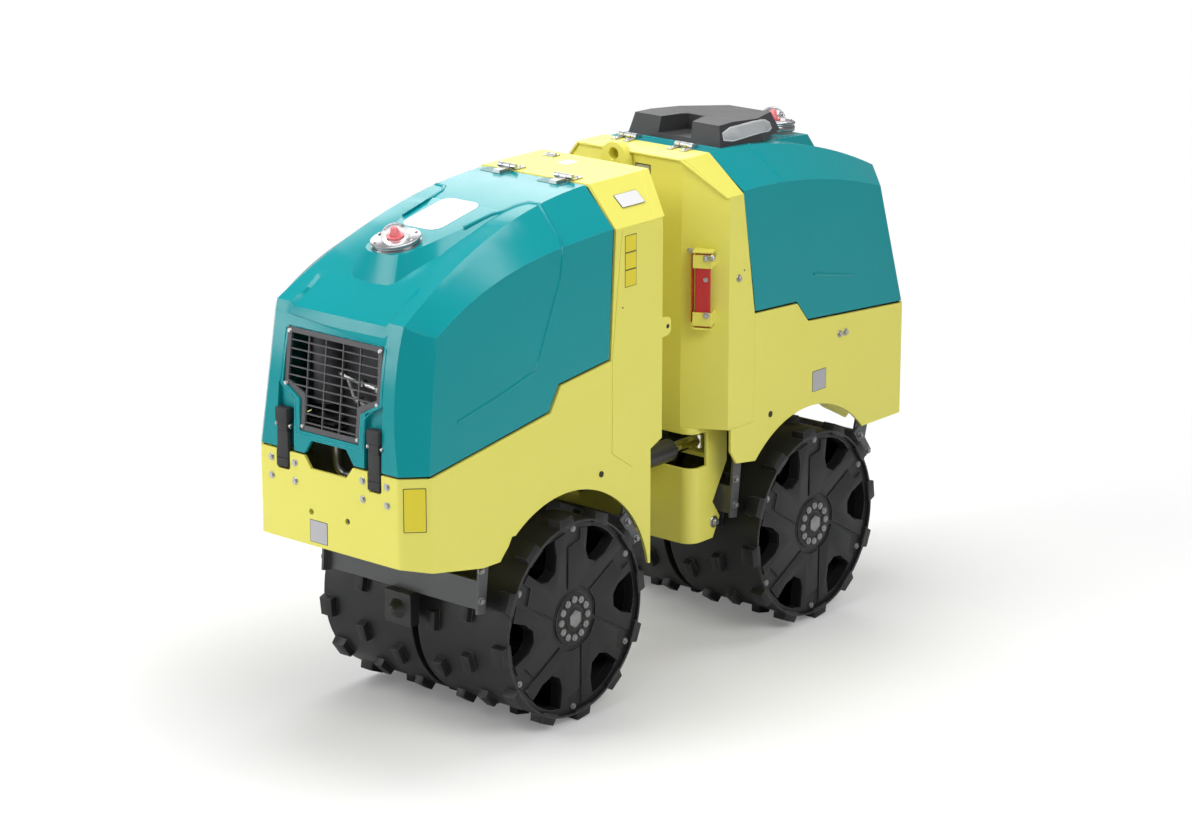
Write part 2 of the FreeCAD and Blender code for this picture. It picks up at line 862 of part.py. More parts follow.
def bulkhead_plan(inset, tail):
    """Half plan of the rear half's front wall, its slanted corner and its side."""
    return [
        (f"-bulkhead_front - ({inset})", f"bulkhead_top_half - ({inset}) * 0.5"),
        (f"-bulkhead_corner - ({inset}) * 0.5", f"side - ({inset})"),
        (tail, f"side - ({inset})"),
    ]


def rear_bulkhead():
    """Tall wall at the front of the rear half, open towards the hood, with the lock bar's brackets."""

    def form(inset, floor):
        tail = "-rear_belt_x - 100"
        upright = slab("plan", mirrored_outline(bulkhead_plan(inset, tail)), floor, "cover_top + 1")
        return common([upright, shouldered(inset, tail, "-bulkhead_front + 1", floor, "cover_top_half")])

    profile = slab(
        "side",
        [
            ("-bulkhead_front + 1", "bulkhead_low"),
            ("-rear_belt_x", "bulkhead_low"),
            ("-rear_belt_x", "rear_belt_high"),
            ("-bulkhead_rear - bulkhead_shoulder_slope", "cover_shoulder + 1"),
            ("-bulkhead_rear", "cover_top + 1"),
            ("-bulkhead_front + 1", "cover_top + 1"),
        ],
        "-beyond",
        "beyond",
    )
    shell = cut(common([form(0, "bulkhead_low"), profile]), [form("sheet_wall", "bulkhead_low - 1")])
    return fused([shell] + lock_brackets())


# ---------------------------------------------------------------- rear frame
def rear_frame():
    """Rear chassis: side plates, rear wall and the deck above the drums."""
    body = doc.addObject("PartDesign::Body", "RearFrame")
    sheet_ring(body, -1, "-flange_front_x", "rear_low", "rear_belt_high", "rear_low")
    above = [
        ("-nose - 1", "rear_top"),
        ("-chamfer_x", "rear_top"),
        ("-rear_belt_step_x", "rear_belt_step_low"),
        ("-rear_belt_bend_x", "rear_belt_bend_high"),
        ("-rear_belt_x", "rear_belt_high"),
        ("-rear_belt_x", "bulkhead_low"),
        ("-flange_front_x + 1", "bulkhead_low"),
        ("-flange_front_x + 1", "rear_belt_high + 1"),
        ("-nose - 1", "rear_belt_high + 1"),
    ]
    below = [
        ("rear_axle - rear_sill_reach", "rear_low"),
        ("-flange_x", "flange_low"),
        ("-flange_mid_x", "flange_mid_low"),
        ("-flange_front_x", "flange_front_low"),
        ("-flange_front_x + 1", "rear_low - 1"),
        ("rear_axle - rear_sill_reach", "rear_low - 1"),
    ]
    pocket(body, "side", above, "-beyond", "beyond")
    pocket(body, "side", below, "-beyond", "beyond")
    pocket(body, "side", ("arch_radius", "rear_axle", "drum_radius"), "-beyond", "beyond")
    deck = mirrored_outline(bulkhead_plan("sheet_wall", "-chamfer_x + sheet_wall"))
    pad(body, "plan", deck, "deck_height", "deck_top")
    end_wall_holes(body, -1, "rear_top")
    return body


def rear_nose():
    """Boxed nose below the bulkhead with the pivot tongue and the cylinder's two ears."""

    def form(inset):
        corner = f"nose_corner - ({inset})"
        half = f"nose_half_width - ({inset})"
        front = f"-bulkhead_front - ({inset})"
        tail = "-rear_belt_x - 1"
        middle = block(tail, front, f"-({half}) + {corner}", f"{half} - ({corner})", "nose_low - 1", "bulkhead_low + 1")
        rest = block(tail, f"{front} - ({corner})", f"-({half})", half, "nose_low - 1", "bulkhead_low + 1")
        rounds = both_sides(
            bar(ALONG_Z, corner, f"{front} - ({corner})", f"{half} - ({corner})", "nose_low - 1", "bulkhead_low - nose_low + 2")
        )
        return fused([middle, rest] + rounds)

    profile = slab(
        "side",
        [
            ("-bulkhead_front", "nose_low"),
            ("-219", "nose_low"),
            ("-249", "nose_low + 56"),
            ("-217", "nose_low + 103"),
            ("-277", "nose_low + 206"),
            ("-277", "bulkhead_low"),
            ("-bulkhead_front", "bulkhead_low"),
        ],
        "-nose_half_width",
        "nose_half_width",
    )
    shell = common([cut(form(0), [form("nose_wall")]), profile])
    opening = block(
        "-bulkhead_front - nose_pocket_deep",
        "-bulkhead_front + 1",
        "cylinder_y - 80",
        "nose_half_width + 1",
        "cylinder_z - 50",
        "cylinder_z + 45",
    )
    tube = bar(ALONG_Z, "tongue_radius", "pivot_x", 0, "tongue_low", "tongue_high - (tongue_low)")
    web = block("-bulkhead_front - nose_wall", "pivot_x", "-tongue_web_half", "tongue_web_half", "tongue_low", "tongue_high")
    bore = bar(ALONG_Z, "pin_radius + running_fit", "pivot_x", 0, "tongue_low - 1", "tongue_high - (tongue_low) + 2")
    reach = "eye_pin_half + ear_gap"
    ears = [
        block(
            "cylinder_eye_x - 30",
            "cylinder_eye_x + 26",
            "cylinder_y - 60",
            "nose_half_width - nose_wall",
            low,
            high,
        )
        for low, high in (
            (f"cylinder_z + {reach}", f"cylinder_z + {reach} + ear_thick"),
            (f"cylinder_z - ({reach}) - ear_thick", f"cylinder_z - ({reach})"),
        )
    ]
    return fused([cut(shell, [opening]), cut(fused([tube, web]), [bore])] + ears)


def front_yoke():
    """Two yoke plates with the pivot pin, carried by the front frame's end wall."""
    body = doc.addObject("PartDesign::Body", "FrontYoke")
    plate = [
        ("pivot_x", "-yoke_half_width"),
        ("front_rear_edge", "-yoke_half_width"),
        ("front_rear_edge", "yoke_half_width"),
        ("pivot_x", "yoke_half_width"),
    ]
    back = [
        ("front_rear_edge - yoke_back", "-yoke_half_width"),
        ("front_rear_edge", "-yoke_half_width"),
        ("front_rear_edge", "yoke_half_width"),
        ("front_rear_edge - yoke_back", "yoke_half_width"),
    ]
    pad(body, "plan", back, "yoke_low", "yoke_high")
    for low in ("yoke_low", "yoke_high - yoke_thick"):
        pad(body, "plan", plate, low, f"{low} + yoke_thick")
        pad(body, "plan", ("yoke_half_width", "pivot_x", 0), low, f"{low} + yoke_thick")
    pad(body, "plan", ("pin_radius", "pivot_x", 0), "yoke_low - pin_end", "yoke_high + pin_end")
    return body


# ---------------------------------------------------------------- steering cylinder
def steering_barrel():
    """Cylinder barrel with the eye that turns on the front frame's foot."""
    y, z = "cylinder_y", "cylinder_z"
    length = "barrel_length - barrel_neck"
    end = "cylinder_foot_x - barrel_length"
    tube = bar(ALONG_X, "barrel_radius", end, y, z, length)
    hollow = bar(ALONG_X, "rod_radius + running_fit", f"{end} - 1", y, z, f"{length} - sheet_wall")
    neck = bar(ALONG_X, "rod_radius", "cylinder_foot_x - barrel_neck", y, z, "barrel_neck")
    eye = bar(ALONG_Z, "eye_radius", "cylinder_foot_x", y, "cylinder_z - eye_half", "2 * eye_half")
    bore = bar(ALONG_Z, "eye_pin_radius + running_fit", "cylinder_foot_x", y, "cylinder_z - eye_half - 1", "2 * eye_half + 2")
    return cut(fused([cut(tube, [hollow]), neck, eye]), [bore])


def steering_rod():
    """Piston rod with its eye and eye pin, which sits between the nose's two ears."""
    y, z = "cylinder_y", "cylinder_z"
    length = "cylinder_foot_x - rod_tip_back - cylinder_eye_x"
    shaft = bar(ALONG_X, "rod_radius", "cylinder_eye_x", y, z, length)
    eye = bar(ALONG_Z, "rod_eye_radius", "cylinder_eye_x", y, "cylinder_z - rod_eye_half", "2 * rod_eye_half")
    pin = bar(ALONG_Z, "eye_pin_radius", "cylinder_eye_x", y, "cylinder_z - eye_pin_half", "2 * eye_pin_half")
    return fused([shaft, eye, pin])


def cylinder_foot():
    """Bracket and pin below the front deck that carry the barrel's eye."""
    pin_low = "cylinder_z - eye_pin_half"
    pin = bar(ALONG_Z, "eye_pin_radius", "cylinder_foot_x", "cylinder_y", pin_low, f"deck_height - foot_thick - ({pin_low})")
    plate = block(
        "cylinder_foot_x - foot_half",
        "cylinder_foot_x + foot_half",
        "cylinder_y - foot_half",
        "cylinder_y + foot_half",
        "deck_height - foot_thick",
        "deck_height",
    )
    return fused([plate, pin])


# ---------------------------------------------------------------- hoods
# Each curve of a hood is (start, slope, bend, curl): the value at the hinge edge,
# less three shares that grow with the first, second and third power of the way
# to the hood's full reach.
HOOD_CURVES = {
    "front": {
        "ridge_high": (1350, 17, 238, 14),
        "ridge_half": (171, -11, -40, 0),
        "shoulder_high": (1262, 70, -125, 323),
        "shoulder_half": (285, 6, 14, 0),
    },
    "rear": {
        "ridge_high": (1350, 0, 142, 59),
        "ridge_half": (168, -17, -27, 0),
        "shoulder_high": (1262, -21, 195, -19),
        "shoulder_half": (285, 5, 11, 0),
    },
}


def hood_curve(end, name, share):
    """Value of one of a hood's curves at a share of its reach."""
    start, slope, bend, curl = HOOD_CURVES[end][name]
    return start - slope * share - bend * share**2 - curl * share**3


def hood_body(end, hinge_x, direction, low, inset):
    """Solid hood form lofted through its sections, moved inwards by the inset."""
    wires = []
    rows = int(size("hood_rows"))
    for row in range(rows):
        share = row / (rows - 1)
        x = hinge_x + direction * size("hood_reach") * share
        half = [
            (size("side") - inset, low),
            (hood_curve(end, "shoulder_half", share) - inset, hood_curve(end, "shoulder_high", share) - inset * 0.4),
            (hood_curve(end, "ridge_half", share) - inset * 0.4, hood_curve(end, "ridge_high", share) - inset),
        ]
        points = [Vector(x, y, z) for y, z in half + [(-y, z) for y, z in reversed(half)]]
        wires.append(Part.makePolygon(points + [points[0]]))
    return Part.makeLoft(wires, True, False)


def nose_profile(direction, hinge_x, base, inset):
    """Side view of everything behind the leaning, slightly bowed end of a hood."""
    radius = size("hood_lean_radius")
    edge = size("hood_nose") - inset
    across = -size("beyond")
    bow_high = 500

    def lean(rise):
        return Vector(direction * (edge - rise * rise / (2 * radius)), across, base + rise)

    bow = Part.Arc(lean(0), lean(bow_high / 2), lean(bow_high)).toShape()
    low = Vector(direction * edge, across, base - bow_high)
    high = Vector(lean(bow_high).x, across, base + 2 * bow_high)
    back_low = Vector(hinge_x, across, base - bow_high)
    back_high = Vector(hinge_x, across, base + 2 * bow_high)
    edges = [
        Part.makeLine(low, lean(0)),
        bow,
        Part.makeLine(lean(bow_high), high),
        Part.makeLine(high, back_high),
        Part.makeLine(back_high, back_low),
        Part.makeLine(back_low, low),
    ]
    return Part.Face(Part.Wire(edges)).extrude(Vector(0, -2 * across, 0))


def corner_cutter(end, direction, base, inset):
    """Slab outside the flat that bevels a hood's corner, for the left side."""
    low_front = Vector(direction * size("hood_nose"), size("nose_half"), base)
    low_back = Vector(direction * (size("hood_nose") - size("corner_chamfer")), size("side"), base)
    top = Vector(
        direction * (size("nose") - size(f"{end}_corner_back")),
        size(f"{end}_corner_half"),
        size(f"{end}_corner_high"),
    )
    normal = (low_back - low_front).cross(top - low_front)
    normal = (normal if normal.y > 0 else normal * -1).normalize()
    along = (low_back - low_front).normalize()
    up = normal.cross(along)
    up = up if up.z > 0 else up * -1
    reach = size("hood_reach") / 2
    start = low_front - normal * inset
    corners = [
        start - along * reach - up * reach,
        start + along * reach - up * reach,
        start + along * reach + up * 2 * reach,
        start - along * reach + up * 2 * reach,
    ]
    return Part.Face(Part.makePolygon(corners + [corners[0]])).extrude(normal * reach)


def spine(end, direction, inset):
    """Raised middle of a hood that carries the receiver, narrowing towards its sloped end."""
    name = "spine" if end == "front" else "rear_spine"
    deep = size("spine_deep")

    def ring(x, half, high):
        spread = size("spine_flank") * deep / 30
        points = [(half + spread, high - deep), (half, high), (-half, high), (-half - spread, high - deep)]
        return [Vector(x, y, z) for y, z in points]

    start = ring(
        direction * size(f"{name}_start_x"), size(f"{name}_start_half") - inset, size(f"{name}_start_high") - inset
    )
    finish = ring(
        direction * (size(f"{name}_end_x") - inset), size(f"{name}_end_half") - inset, size(f"{name}_end_high") - inset
    )
    for point in (finish[0], finish[-1]):
        point.x += direction * size("spine_nose")
    return Part.makeLoft([Part.makePolygon(points + [points[0]]) for points in (start, finish)], True, True)


def hood_form(end, direction, inset):
    """Closed hood form: its body behind the leaning end and bevelled corners, and its spine."""
    hinge_x = size("cover_front") if direction > 0 else -size("bulkhead_rear")
    base = size("bumper_top") if direction > 0 else size("rear_top")
    solid = hood_body(end, hinge_x, direction, base - 70, inset)
    solid = solid.common(nose_profile(direction, hinge_x, base, inset))
    left = corner_cutter(end, direction, base, inset)
    right = left.mirror(Vector(0, 0, 0), Vector(0, 1, 0))
    return solid.fuse(spine(end, direction, inset)).cut([left, right])


def latch_recesses(end, direction, wall):
    """Two upright hollows in a hood's end that the latches lie in, grown by a wall."""
    low = "bumper_top" if direction > 0 else "rear_top"
    inner = f"(latch_spacing - recess_wide) / 2 - ({wall})"
    outer = f"(latch_spacing + recess_wide) / 2 - latch_thick + ({wall})"
    outline = [
        (inner, f"{low} - 100"),
        (outer, f"{low} - 100"),
        (outer, f"{low} + recess_rise + ({wall})"),
        (inner, f"{low} + recess_rise - recess_slope + ({wall})"),
    ]
    depths = ("hood_nose - recess_deep - " + f"({wall}) - (nose - hood_nose)", "nose + 1")
    near, far = depths if direction > 0 else [f"-({depth})" for depth in depths[::-1]]
    return both_sides(slab("front", outline, near, far))


def hood_parts(end, direction, profile):
    """Outer form of a hood, and the shell that is left of it inside a side profile."""
    outer = cut(made(hood_form(end, direction, 0)), latch_recesses(end, direction, 0))
    inner_shape = hood_form(end, direction, size("hood_wall"))
    inner_shape.translate(Vector(0, 0, -1))
    inner = cut(made(inner_shape), latch_recesses(end, direction, "hood_wall"))
    shell = common([cut(outer, [inner]), slab("side", profile, "-beyond", "beyond")])
    return outer, shell


def front_hood():
    profile = [
        ("cover_front + hood_gap", "cover_top + 20"),
        ("cover_front + hood_gap", "cover_top"),
        ("cover_front + cover_shoulder_slope + hood_gap", "cover_shoulder + 7"),
        ("front_belt_x + hood_gap", "belt_high + hood_gap"),
        ("belt_bend_x + hood_gap", "belt_bend_high + hood_gap"),
        ("belt_step_x + hood_gap", "belt_step_low + hood_gap"),
        ("chamfer_x", "bumper_top + hood_gap"),
        ("nose + 1", "bumper_top + hood_gap"),
        ("nose + 1", "cover_top + 20"),
    ]
    outer, shell = hood_parts("front", 1, profile)
    window = slab("front", grille_outline(0), "nose - 95", "nose")
    mouth = slab(
        "front",
        mirrored_front([("mouth_half_high", "mouth_high"), ("mouth_half_low", "bumper_top")]),
        "nose - 95",
        "nose",
    )
    return outer, cut(shell, [window, mouth])


def rear_hood():
    profile = [
        ("-bulkhead_rear - hood_gap", "cover_top + 20"),
        ("-bulkhead_rear - hood_gap", "cover_top"),
        ("-bulkhead_rear - bulkhead_shoulder_slope - hood_gap", "cover_shoulder + 1"),
        ("-rear_belt_x - hood_gap", "rear_belt_high + hood_gap"),
        ("-rear_belt_bend_x", "rear_belt_bend_high + hood_gap"),
        ("-rear_belt_step_x", "rear_belt_step_low + hood_gap"),
        ("-chamfer_x", "rear_top + hood_gap"),
        ("-nose - 1", "rear_top + hood_gap"),
        ("-nose - 1", "cover_top + 20"),
    ]
    return hood_parts("rear", -1, profile)


# ---------------------------------------------------------------- grille
def grille_outline(inset):
    """Front outline of the grille: wide above, narrow between the latches."""
    half = [
        (f"grille_top_half - ({inset})", f"grille_top - ({inset})"),
        (f"grille_waist_half - ({inset})", f"grille_waist_high + ({inset}) * 0.4"),
        (f"grille_foot_half - ({inset})", f"grille_waist_low + ({inset})"),
        (f"grille_low_half - ({inset})", f"grille_low + ({inset})"),
    ]
    return mirrored_front(half)


def front_grille():
    """Flat grille frame with crossed bars, leaning with the hood."""
    border = cut(
        slab("front", grille_outline(1), 0, "grille_thick"),
        [slab("front", grille_outline("grille_edge"), -1, "grille_thick + 1")],
    )
    room = slab("front", grille_outline("grille_edge - 2"), 0, "grille_thick")
    bars = [
        block(
            1,
            "grille_thick - 1",
            f"{place} * grille_upright_pitch - grille_bar / 2",
            f"{place} * grille_upright_pitch + grille_bar / 2",
            "grille_low",
            "grille_top",
        )
        for place in (-1.5, -0.5, 0.5, 1.5)
    ]
    count = int((size("grille_top") - size("grille_low")) / size("grille_pitch")) - 1
    for index in range(count):
        low = f"grille_low + {index + 1} * grille_pitch - grille_bar / 2"
        bars.append(block(1, "grille_thick - 1", "-grille_waist_half", "grille_waist_half", low, f"{low} + grille_bar"))
    flat = fused([border, common([fused(bars), room])])
    sunk = turned(flat, Vector(0, 1, 0), 0, 0, 0, "-grille_low")
    return turned(sunk, Vector(0, 1, 0), "-grille_lean", "hood_nose - 12", 0, "grille_low")


# ---------------------------------------------------------------- console and receivers
def console(hood):
    """Black hand-hold console on top of the rear hood, with a recess open to the front."""
    base_spread = "console_flank"
    rings = (
        (
            "console_base_high",
            [
                ("-console_front", "console_front_half"),
                ("-console_bend", "console_front_half - 8"),
                (f"-console_tail - {base_spread}", "console_tail_half + 30"),
            ],
        ),
        (
            "console_top_high",
            [
                ("-console_top_front", "console_top_half"),
                ("-console_bend", "console_top_half - 14"),
                ("-console_tail", "console_tail_half"),
            ],
        ),
    )
    wires = []
    for high, half in rings:
        plan = [Vector(size(x), size(y), size(high)) for x, y in mirrored_outline(half)]
        wires.append(Part.makePolygon(plan + [plan[0]]))
    solid = made(Part.makeLoft(wires, True, True))
    above = slab(
        "side",
        [
            ("-console_front + 1", "console_top_high"),
            ("-console_top_front - 60", "console_top_high"),
            ("-console_tail", "console_tail_high"),
            (f"-console_tail - {base_spread} - 1", "console_tail_high - 2"),
            (f"-console_tail - {base_spread} - 1", "console_top_high + 1"),
            ("-console_front + 1", "console_top_high + 1"),
        ],
        "-beyond",
        "beyond",
    )
    recess = slab(
        "plan",
        mirrored_outline(
            [
                ("-console_front + 1", "recess_front_half + 4"),
                ("-recess_back", "recess_back_half"),
            ]
        ),
        "recess_floor",
        "console_top_high + 1",
    )
    return cut(solid, [above, recess, hood])


def spine_tilt(name):
    """Slope of a spine's top, in degrees."""
    fall = size(f"{name}_start_high") - size(f"{name}_end_high")
    return math.degrees(math.atan2(fall, size(f"{name}_end_x") - size(f"{name}_start_x")))


def spine_height(name, x):
    """Height of a spine's top at a distance from the middle of the machine."""
    run = (size(x) - size(f"{name}_start_x")) / (size(f"{name}_end_x") - size(f"{name}_start_x"))
    return size(f"{name}_start_high") + run * (size(f"{name}_end_high") - size(f"{name}_start_high"))


def receiver(name, x, direction, hood):
    """Base ring of a remote receiver, seated on a hood's spine, and its dome."""
    tilt = direction * spine_tilt(name)
    high = spine_height(name, x)
    place = f"{direction} * ({x})"
    ring = bar(ALONG_Z, "receiver_radius", 0, 0, "-receiver_height", "2 * receiver_height")
    base = turned(ring, Vector(0, 1, 0), tilt, place, 0, high)
    ball = doc.addObject("Part::Sphere", "Ball")
    ball.Angle1 = 0
    ball.setExpression("Radius", formula("dome_radius"))
    dome = turned(ball, Vector(0, 1, 0), 0, 0, 0, "receiver_height")
    return cut(base, [hood]), turned(dome, Vector(0, 1, 0), tilt, place, 0, high)


# ---------------------------------------------------------------- hinges and latches
def hinge_pair(edge, direction, cutter):
    """Two hinges: a hood's leaves carry the knuckles, the other leaves carry the pins."""
    moving, fixed = [], []
    x, z = edge, "hinge_height"
    for side_sign in (-1, 1):
        middle = f"{side_sign} * hinge_spacing / 2"
        start = f"{middle} - hinge_width / 5"
        knuckle = bar(ALONG_Y, "hinge_knuckle", x, start, z, "hinge_width * 2 / 5")
        room = bar(ALONG_Y, "hinge_pin + running_fit", x, f"{start} - 1", z, "hinge_width * 2 / 5 + 2")
        span = (x, f"{x} + {direction} * (hinge_leaf + leaf_thick)")
        low, high = span if direction > 0 else span[::-1]
        leaf = block(low, high, start, f"{start} + hinge_width * 2 / 5", "hinge_height - 5 * hinge_knuckle", "hinge_height - leaf_thick")
        edge_span = (x, f"{x} + {direction} * hood_gap")
        low, high = edge_span if direction > 0 else edge_span[::-1]
        clear = block(low, high, f"{middle} - hinge_width", f"{middle} + hinge_width", "hinge_height - 7 * hinge_knuckle", "hinge_height - hinge_knuckle")
        moving.append(cut(fused([knuckle, cut(leaf, [cutter, clear])]), [room]))
        pieces = [bar(ALONG_Y, "hinge_pin", x, f"{middle} - hinge_width / 2", z, "hinge_width")]
        back_span = (f"{x} - {direction} * hinge_leaf", x)
        low, high = back_span if direction > 0 else back_span[::-1]
        for ear in (-1, 1):
            near = f"{middle} + {ear} * hinge_width * 0.36 - hinge_width * 0.14"
            pieces.append(bar(ALONG_Y, "hinge_knuckle", x, near, z, "hinge_width * 0.28"))
            pieces.append(block(low, high, near, f"{near} + hinge_width * 0.28", "cover_top", "cover_top + leaf_thick"))
        fixed.append(fused(pieces))
    return group(moving), group(fixed)


def hood_latches(direction, low, hood):
    """Two rubber draw latches on the end of a hood, hanging into the end wall's slots."""
    proud = "nose + latch_proud"

    def depth(inner, outer):
        return (inner, outer) if direction > 0 else (f"-({outer})", f"-({inner})")

    pieces = []
    for side_sign in (-1, 1):
        y0 = f"{side_sign} * latch_spacing / 2 - latch_wide / 2"
        y1 = f"{y0} + latch_wide"
        seat = block(*depth(f"{proud} - 50", proud), y0, y1, f"{low} + latch_waist", f"{low} + latch_rise")
        strap = block(*depth(f"{proud} - latch_thick", f"{proud} - 2"), y0, y1, f"{low} - latch_drop + hood_gap", f"{low} + latch_waist")
        pin = bar(ALONG_Y, "hinge_knuckle", f"{direction} * ({proud} - hinge_knuckle)", f"{y0} - hinge_pin", f"{low} + latch_waist", "latch_wide + 2 * hinge_pin")
        pieces.append(cut(fused([seat, strap, pin]), [hood]))
    return group(pieces)


# ---------------------------------------------------------------- scrapers and sensor
def scraper_fore(axle):
    """Upright scraper plate ahead of a pair of drums, hung on two side arms."""
    body = doc.addObject("PartDesign::Body", "ForeScraper")
    near = f"{axle} + scraper_reach"
    blade = [
        ("-scraper_half", "drum_radius + scraper_low"),
        ("scraper_half", "drum_radius + scraper_low"),
        ("scraper_half", "drum_radius + scraper_high"),
        ("-scraper_half", "drum_radius + scraper_high"),
    ]
    arm = [
        (near, "drum_radius + scraper_low - scraper_thick"),
        (f"{near} + 30", "drum_radius + scraper_low - 3"),
        (f"{near} + 10", "deck_height"),
        (f"{near} - 30", "deck_height"),
    ]
    pad(body, "front", blade, near, f"{near} + scraper_thick")
    both_hands(body, [pad(body, "side", arm, "scraper_half", "scraper_half + scraper_thick")])
    return body


def scraper_aft(axle, frame):
    """Scraper blade behind a pair of drums, hung on two arms with bolted end plates."""
    radius = "aft_scraper_radius"
    blade = block("-aft_scraper_half", "aft_scraper_half", "-inside", "inside", radius, f"{radius} + scraper_thick")
    ends = both_sides(
        block("-aft_scraper_half - 5", "aft_scraper_half + 5", "side", "side + scraper_thick", "aft_end_low", "aft_end_high")
    )
    necks = both_sides(
        block("-aft_scraper_half", "-5", "inside - scraper_thick", "side", radius, f"{radius} + scraper_thick + 6")
    )
    tilted = turned(fused([blade] + ends + necks), Vector(0, 1, 0), "-aft_scraper_angle", axle, 0, "drum_radius")
    arm = [
        (f"{axle} - 266", "drum_radius + 140"),
        (f"{axle} - 224", "drum_radius + 200"),
        (f"{axle} - 262", "deck_height"),
        (f"{axle} - 322", "deck_height"),
    ]
    arms = both_sides(slab("side", arm, "inside - scraper_thick", "inside"))
    return cut(fused([tilted] + arms), [frame])


def sensor_block():
    """Black sensor box with a cone between the front drums."""
    near = "front_axle + drum_radius + sensor_gap"
    box = block(near, f"{near} + sensor_long", "-sensor_half", "sensor_half", "drum_radius", "drum_radius + sensor_high")
    cone = doc.addObject("Part::Cone", "Cone")
    cone.Placement = Placement(Vector(), ALONG_X)
    cone.setExpression("Radius1", formula("cone_radius"))
    cone.setExpression("Radius2", formula("cone_tip_radius"))
    cone.setExpression("Height", formula("cone_long"))
    cone.setExpression("Placement.Base.x", formula(f"{near} + sensor_long"))
    cone.setExpression("Placement.Base.z", formula("drum_radius + sensor_high / 2"))
    return fused([box, cone])


# ---------------------------------------------------------------- closed-in blocks
def engine_block():
    """The engine, as one plain block on the front deck."""
    return block("engine_front - engine_long", "engine_front", "-engine_wide / 2", "engine_wide / 2", "deck_top", "deck_top + engine_high")


def tank_block():
    """The tanks and pump, as one plain block on the rear deck."""
    return block("-tank_front - tank_long", "-tank_front", "-tank_wide / 2", "tank_wide / 2", "deck_top", "deck_top + tank_high")


# ---------------------------------------------------------------- lifting hoop and steering lock
def lifting_eye():
    """Steel hoop at the top of the bulkhead for lifting the machine by one point."""
    body = doc.addObject("PartDesign::Body", "LiftingEye")
    foot = [
        ("hoop_y - hoop_half", "hoop_low"),
        ("hoop_y + hoop_half", "hoop_low"),
        ("hoop_y + hoop_half", "hoop_high - hoop_half"),
        ("hoop_y - hoop_half", "hoop_high - hoop_half"),
    ]
    near = "-bulkhead_front"
    pad(body, "front", foot, near, f"{near} + hoop_thick")
    pad(body, "front", ("hoop_half", "hoop_y", "hoop_high - hoop_half"), near, f"{near} + hoop_thick")
    pocket(body, "front", ("hoop_hole_radius", "hoop_y", "hoop_hole_high"), near, f"{near} + hoop_thick")
    return body


def on_slant(item):
    """Copy of an item from the wall's own axes, x outwards and y along, on the slanted left wall."""
    run = "(bulkhead_corner - bulkhead_front)"
    rise = "(side - bulkhead_top_half)"
    return turned(
        item,
        Vector(0, 0, 1),
        math.degrees(math.atan2(size(run), size(rise))),
        "-(bulkhead_front + bulkhead_corner) / 2",
        "(bulkhead_top_half + side) / 2",
        0,
    )


def bar_room(margin):
    """The lock bar's box in the wall's own axes, longer by a margin."""
    return block(
        "lock_gap",
        "lock_gap + lock_thick",
        "-lock_wide / 2",
        "lock_wide / 2",
        f"lock_low - {margin}",
        f"lock_high + {margin}",
    )


def lock_brackets():
    """Two brackets on the slanted wall that hold the lock bar."""
    lows = ("lock_low + leaf_thick", "lock_high - leaf_thick - bracket_high")
    return [
        on_slant(cut(block(0, "bracket_deep", "-bracket_wide / 2", "bracket_wide / 2", low, f"{low} + bracket_high"), [bar_room(1)]))
        for low in lows
    ]


# ---------------------------------------------------------------- assembly
def assemble():
    drums()
    for end in ("front", "rear"):
        node(f"{end}_axle_carrier", axle_carrier(f"{end}_axle"))
        node(f"{end}_scraper_fore", scraper_fore(f"{end}_axle"))
    front = node("front_frame", front_frame())
    rear = node("rear_frame", rear_frame())
    node("front_scraper_aft", scraper_aft("front_axle", front))
    node("rear_scraper_aft", scraper_aft("rear_axle", rear))
    node("front_cover", front_cover())
    node("rear_bulkhead", rear_bulkhead())
    node("rear_nose", rear_nose())
    node("front_yoke", front_yoke())
    node("front_sensor_block", sensor_block())
    node("engine_block", engine_block())
    node("tank_block", tank_block())
    node("cylinder_foot", cylinder_foot())
    node("steering_barrel", steering_barrel())
    node("steering_rod", steering_rod())
    node("lifting_eye", lifting_eye())
    node("lock_bar", on_slant(bar_room(0)))
    front_outer, shell = front_hood()
    node("front_hood", shell)
    rear_outer, shell = rear_hood()
    node("rear_hood", shell)
    node("front_grille", front_grille())
    node("console", console(rear_outer))
    node("front_hood_latches", hood_latches(1, "bumper_top", front_outer))
    node("rear_hood_latches", hood_latches(-1, "rear_top", rear_outer))
    moving, fixed = hinge_pair("cover_front", 1, front_outer)
    node("front_hood_hinges", moving)
    node("front_cover_hinges", fixed)
    moving, fixed = hinge_pair("-bulkhead_rear", -1, rear_outer)
    node("rear_hood_hinges", moving)
    node("rear_bulkhead_hinges", fixed)
    base, dome = receiver("spine", "receiver_x", 1, front_outer)
    node("front_receiver_base", base)
    node("front_receiver_dome", dome)
    base, dome = receiver("rear_spine", "rear_receiver_x", -1, rear_outer)
    node("rear_receiver_base", base)
    node("rear_receiver_dome", dome)


def check_and_write():
    doc.recompute()
    for item in doc.Objects:
        if "Invalid" in item.State or "Error" in item.State:
            raise RuntimeError(f"{item.Label} failed to recompute")
    for item in nodes:
        if item.Shape.isNull() or not item.Shape.isValid():
            raise RuntimeError(f"{item.Label} has no valid shape")
    os.makedirs("parts", exist_ok=True)
    for item in nodes:
        item.Shape.exportStep(os.path.join("parts", f"{item.Label}.step"))


assemble()
check_and_write()
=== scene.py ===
import math

import bmesh
import bpy
from mathutils import Matrix, Vector
from mathutils.bvhtree import BVHTree


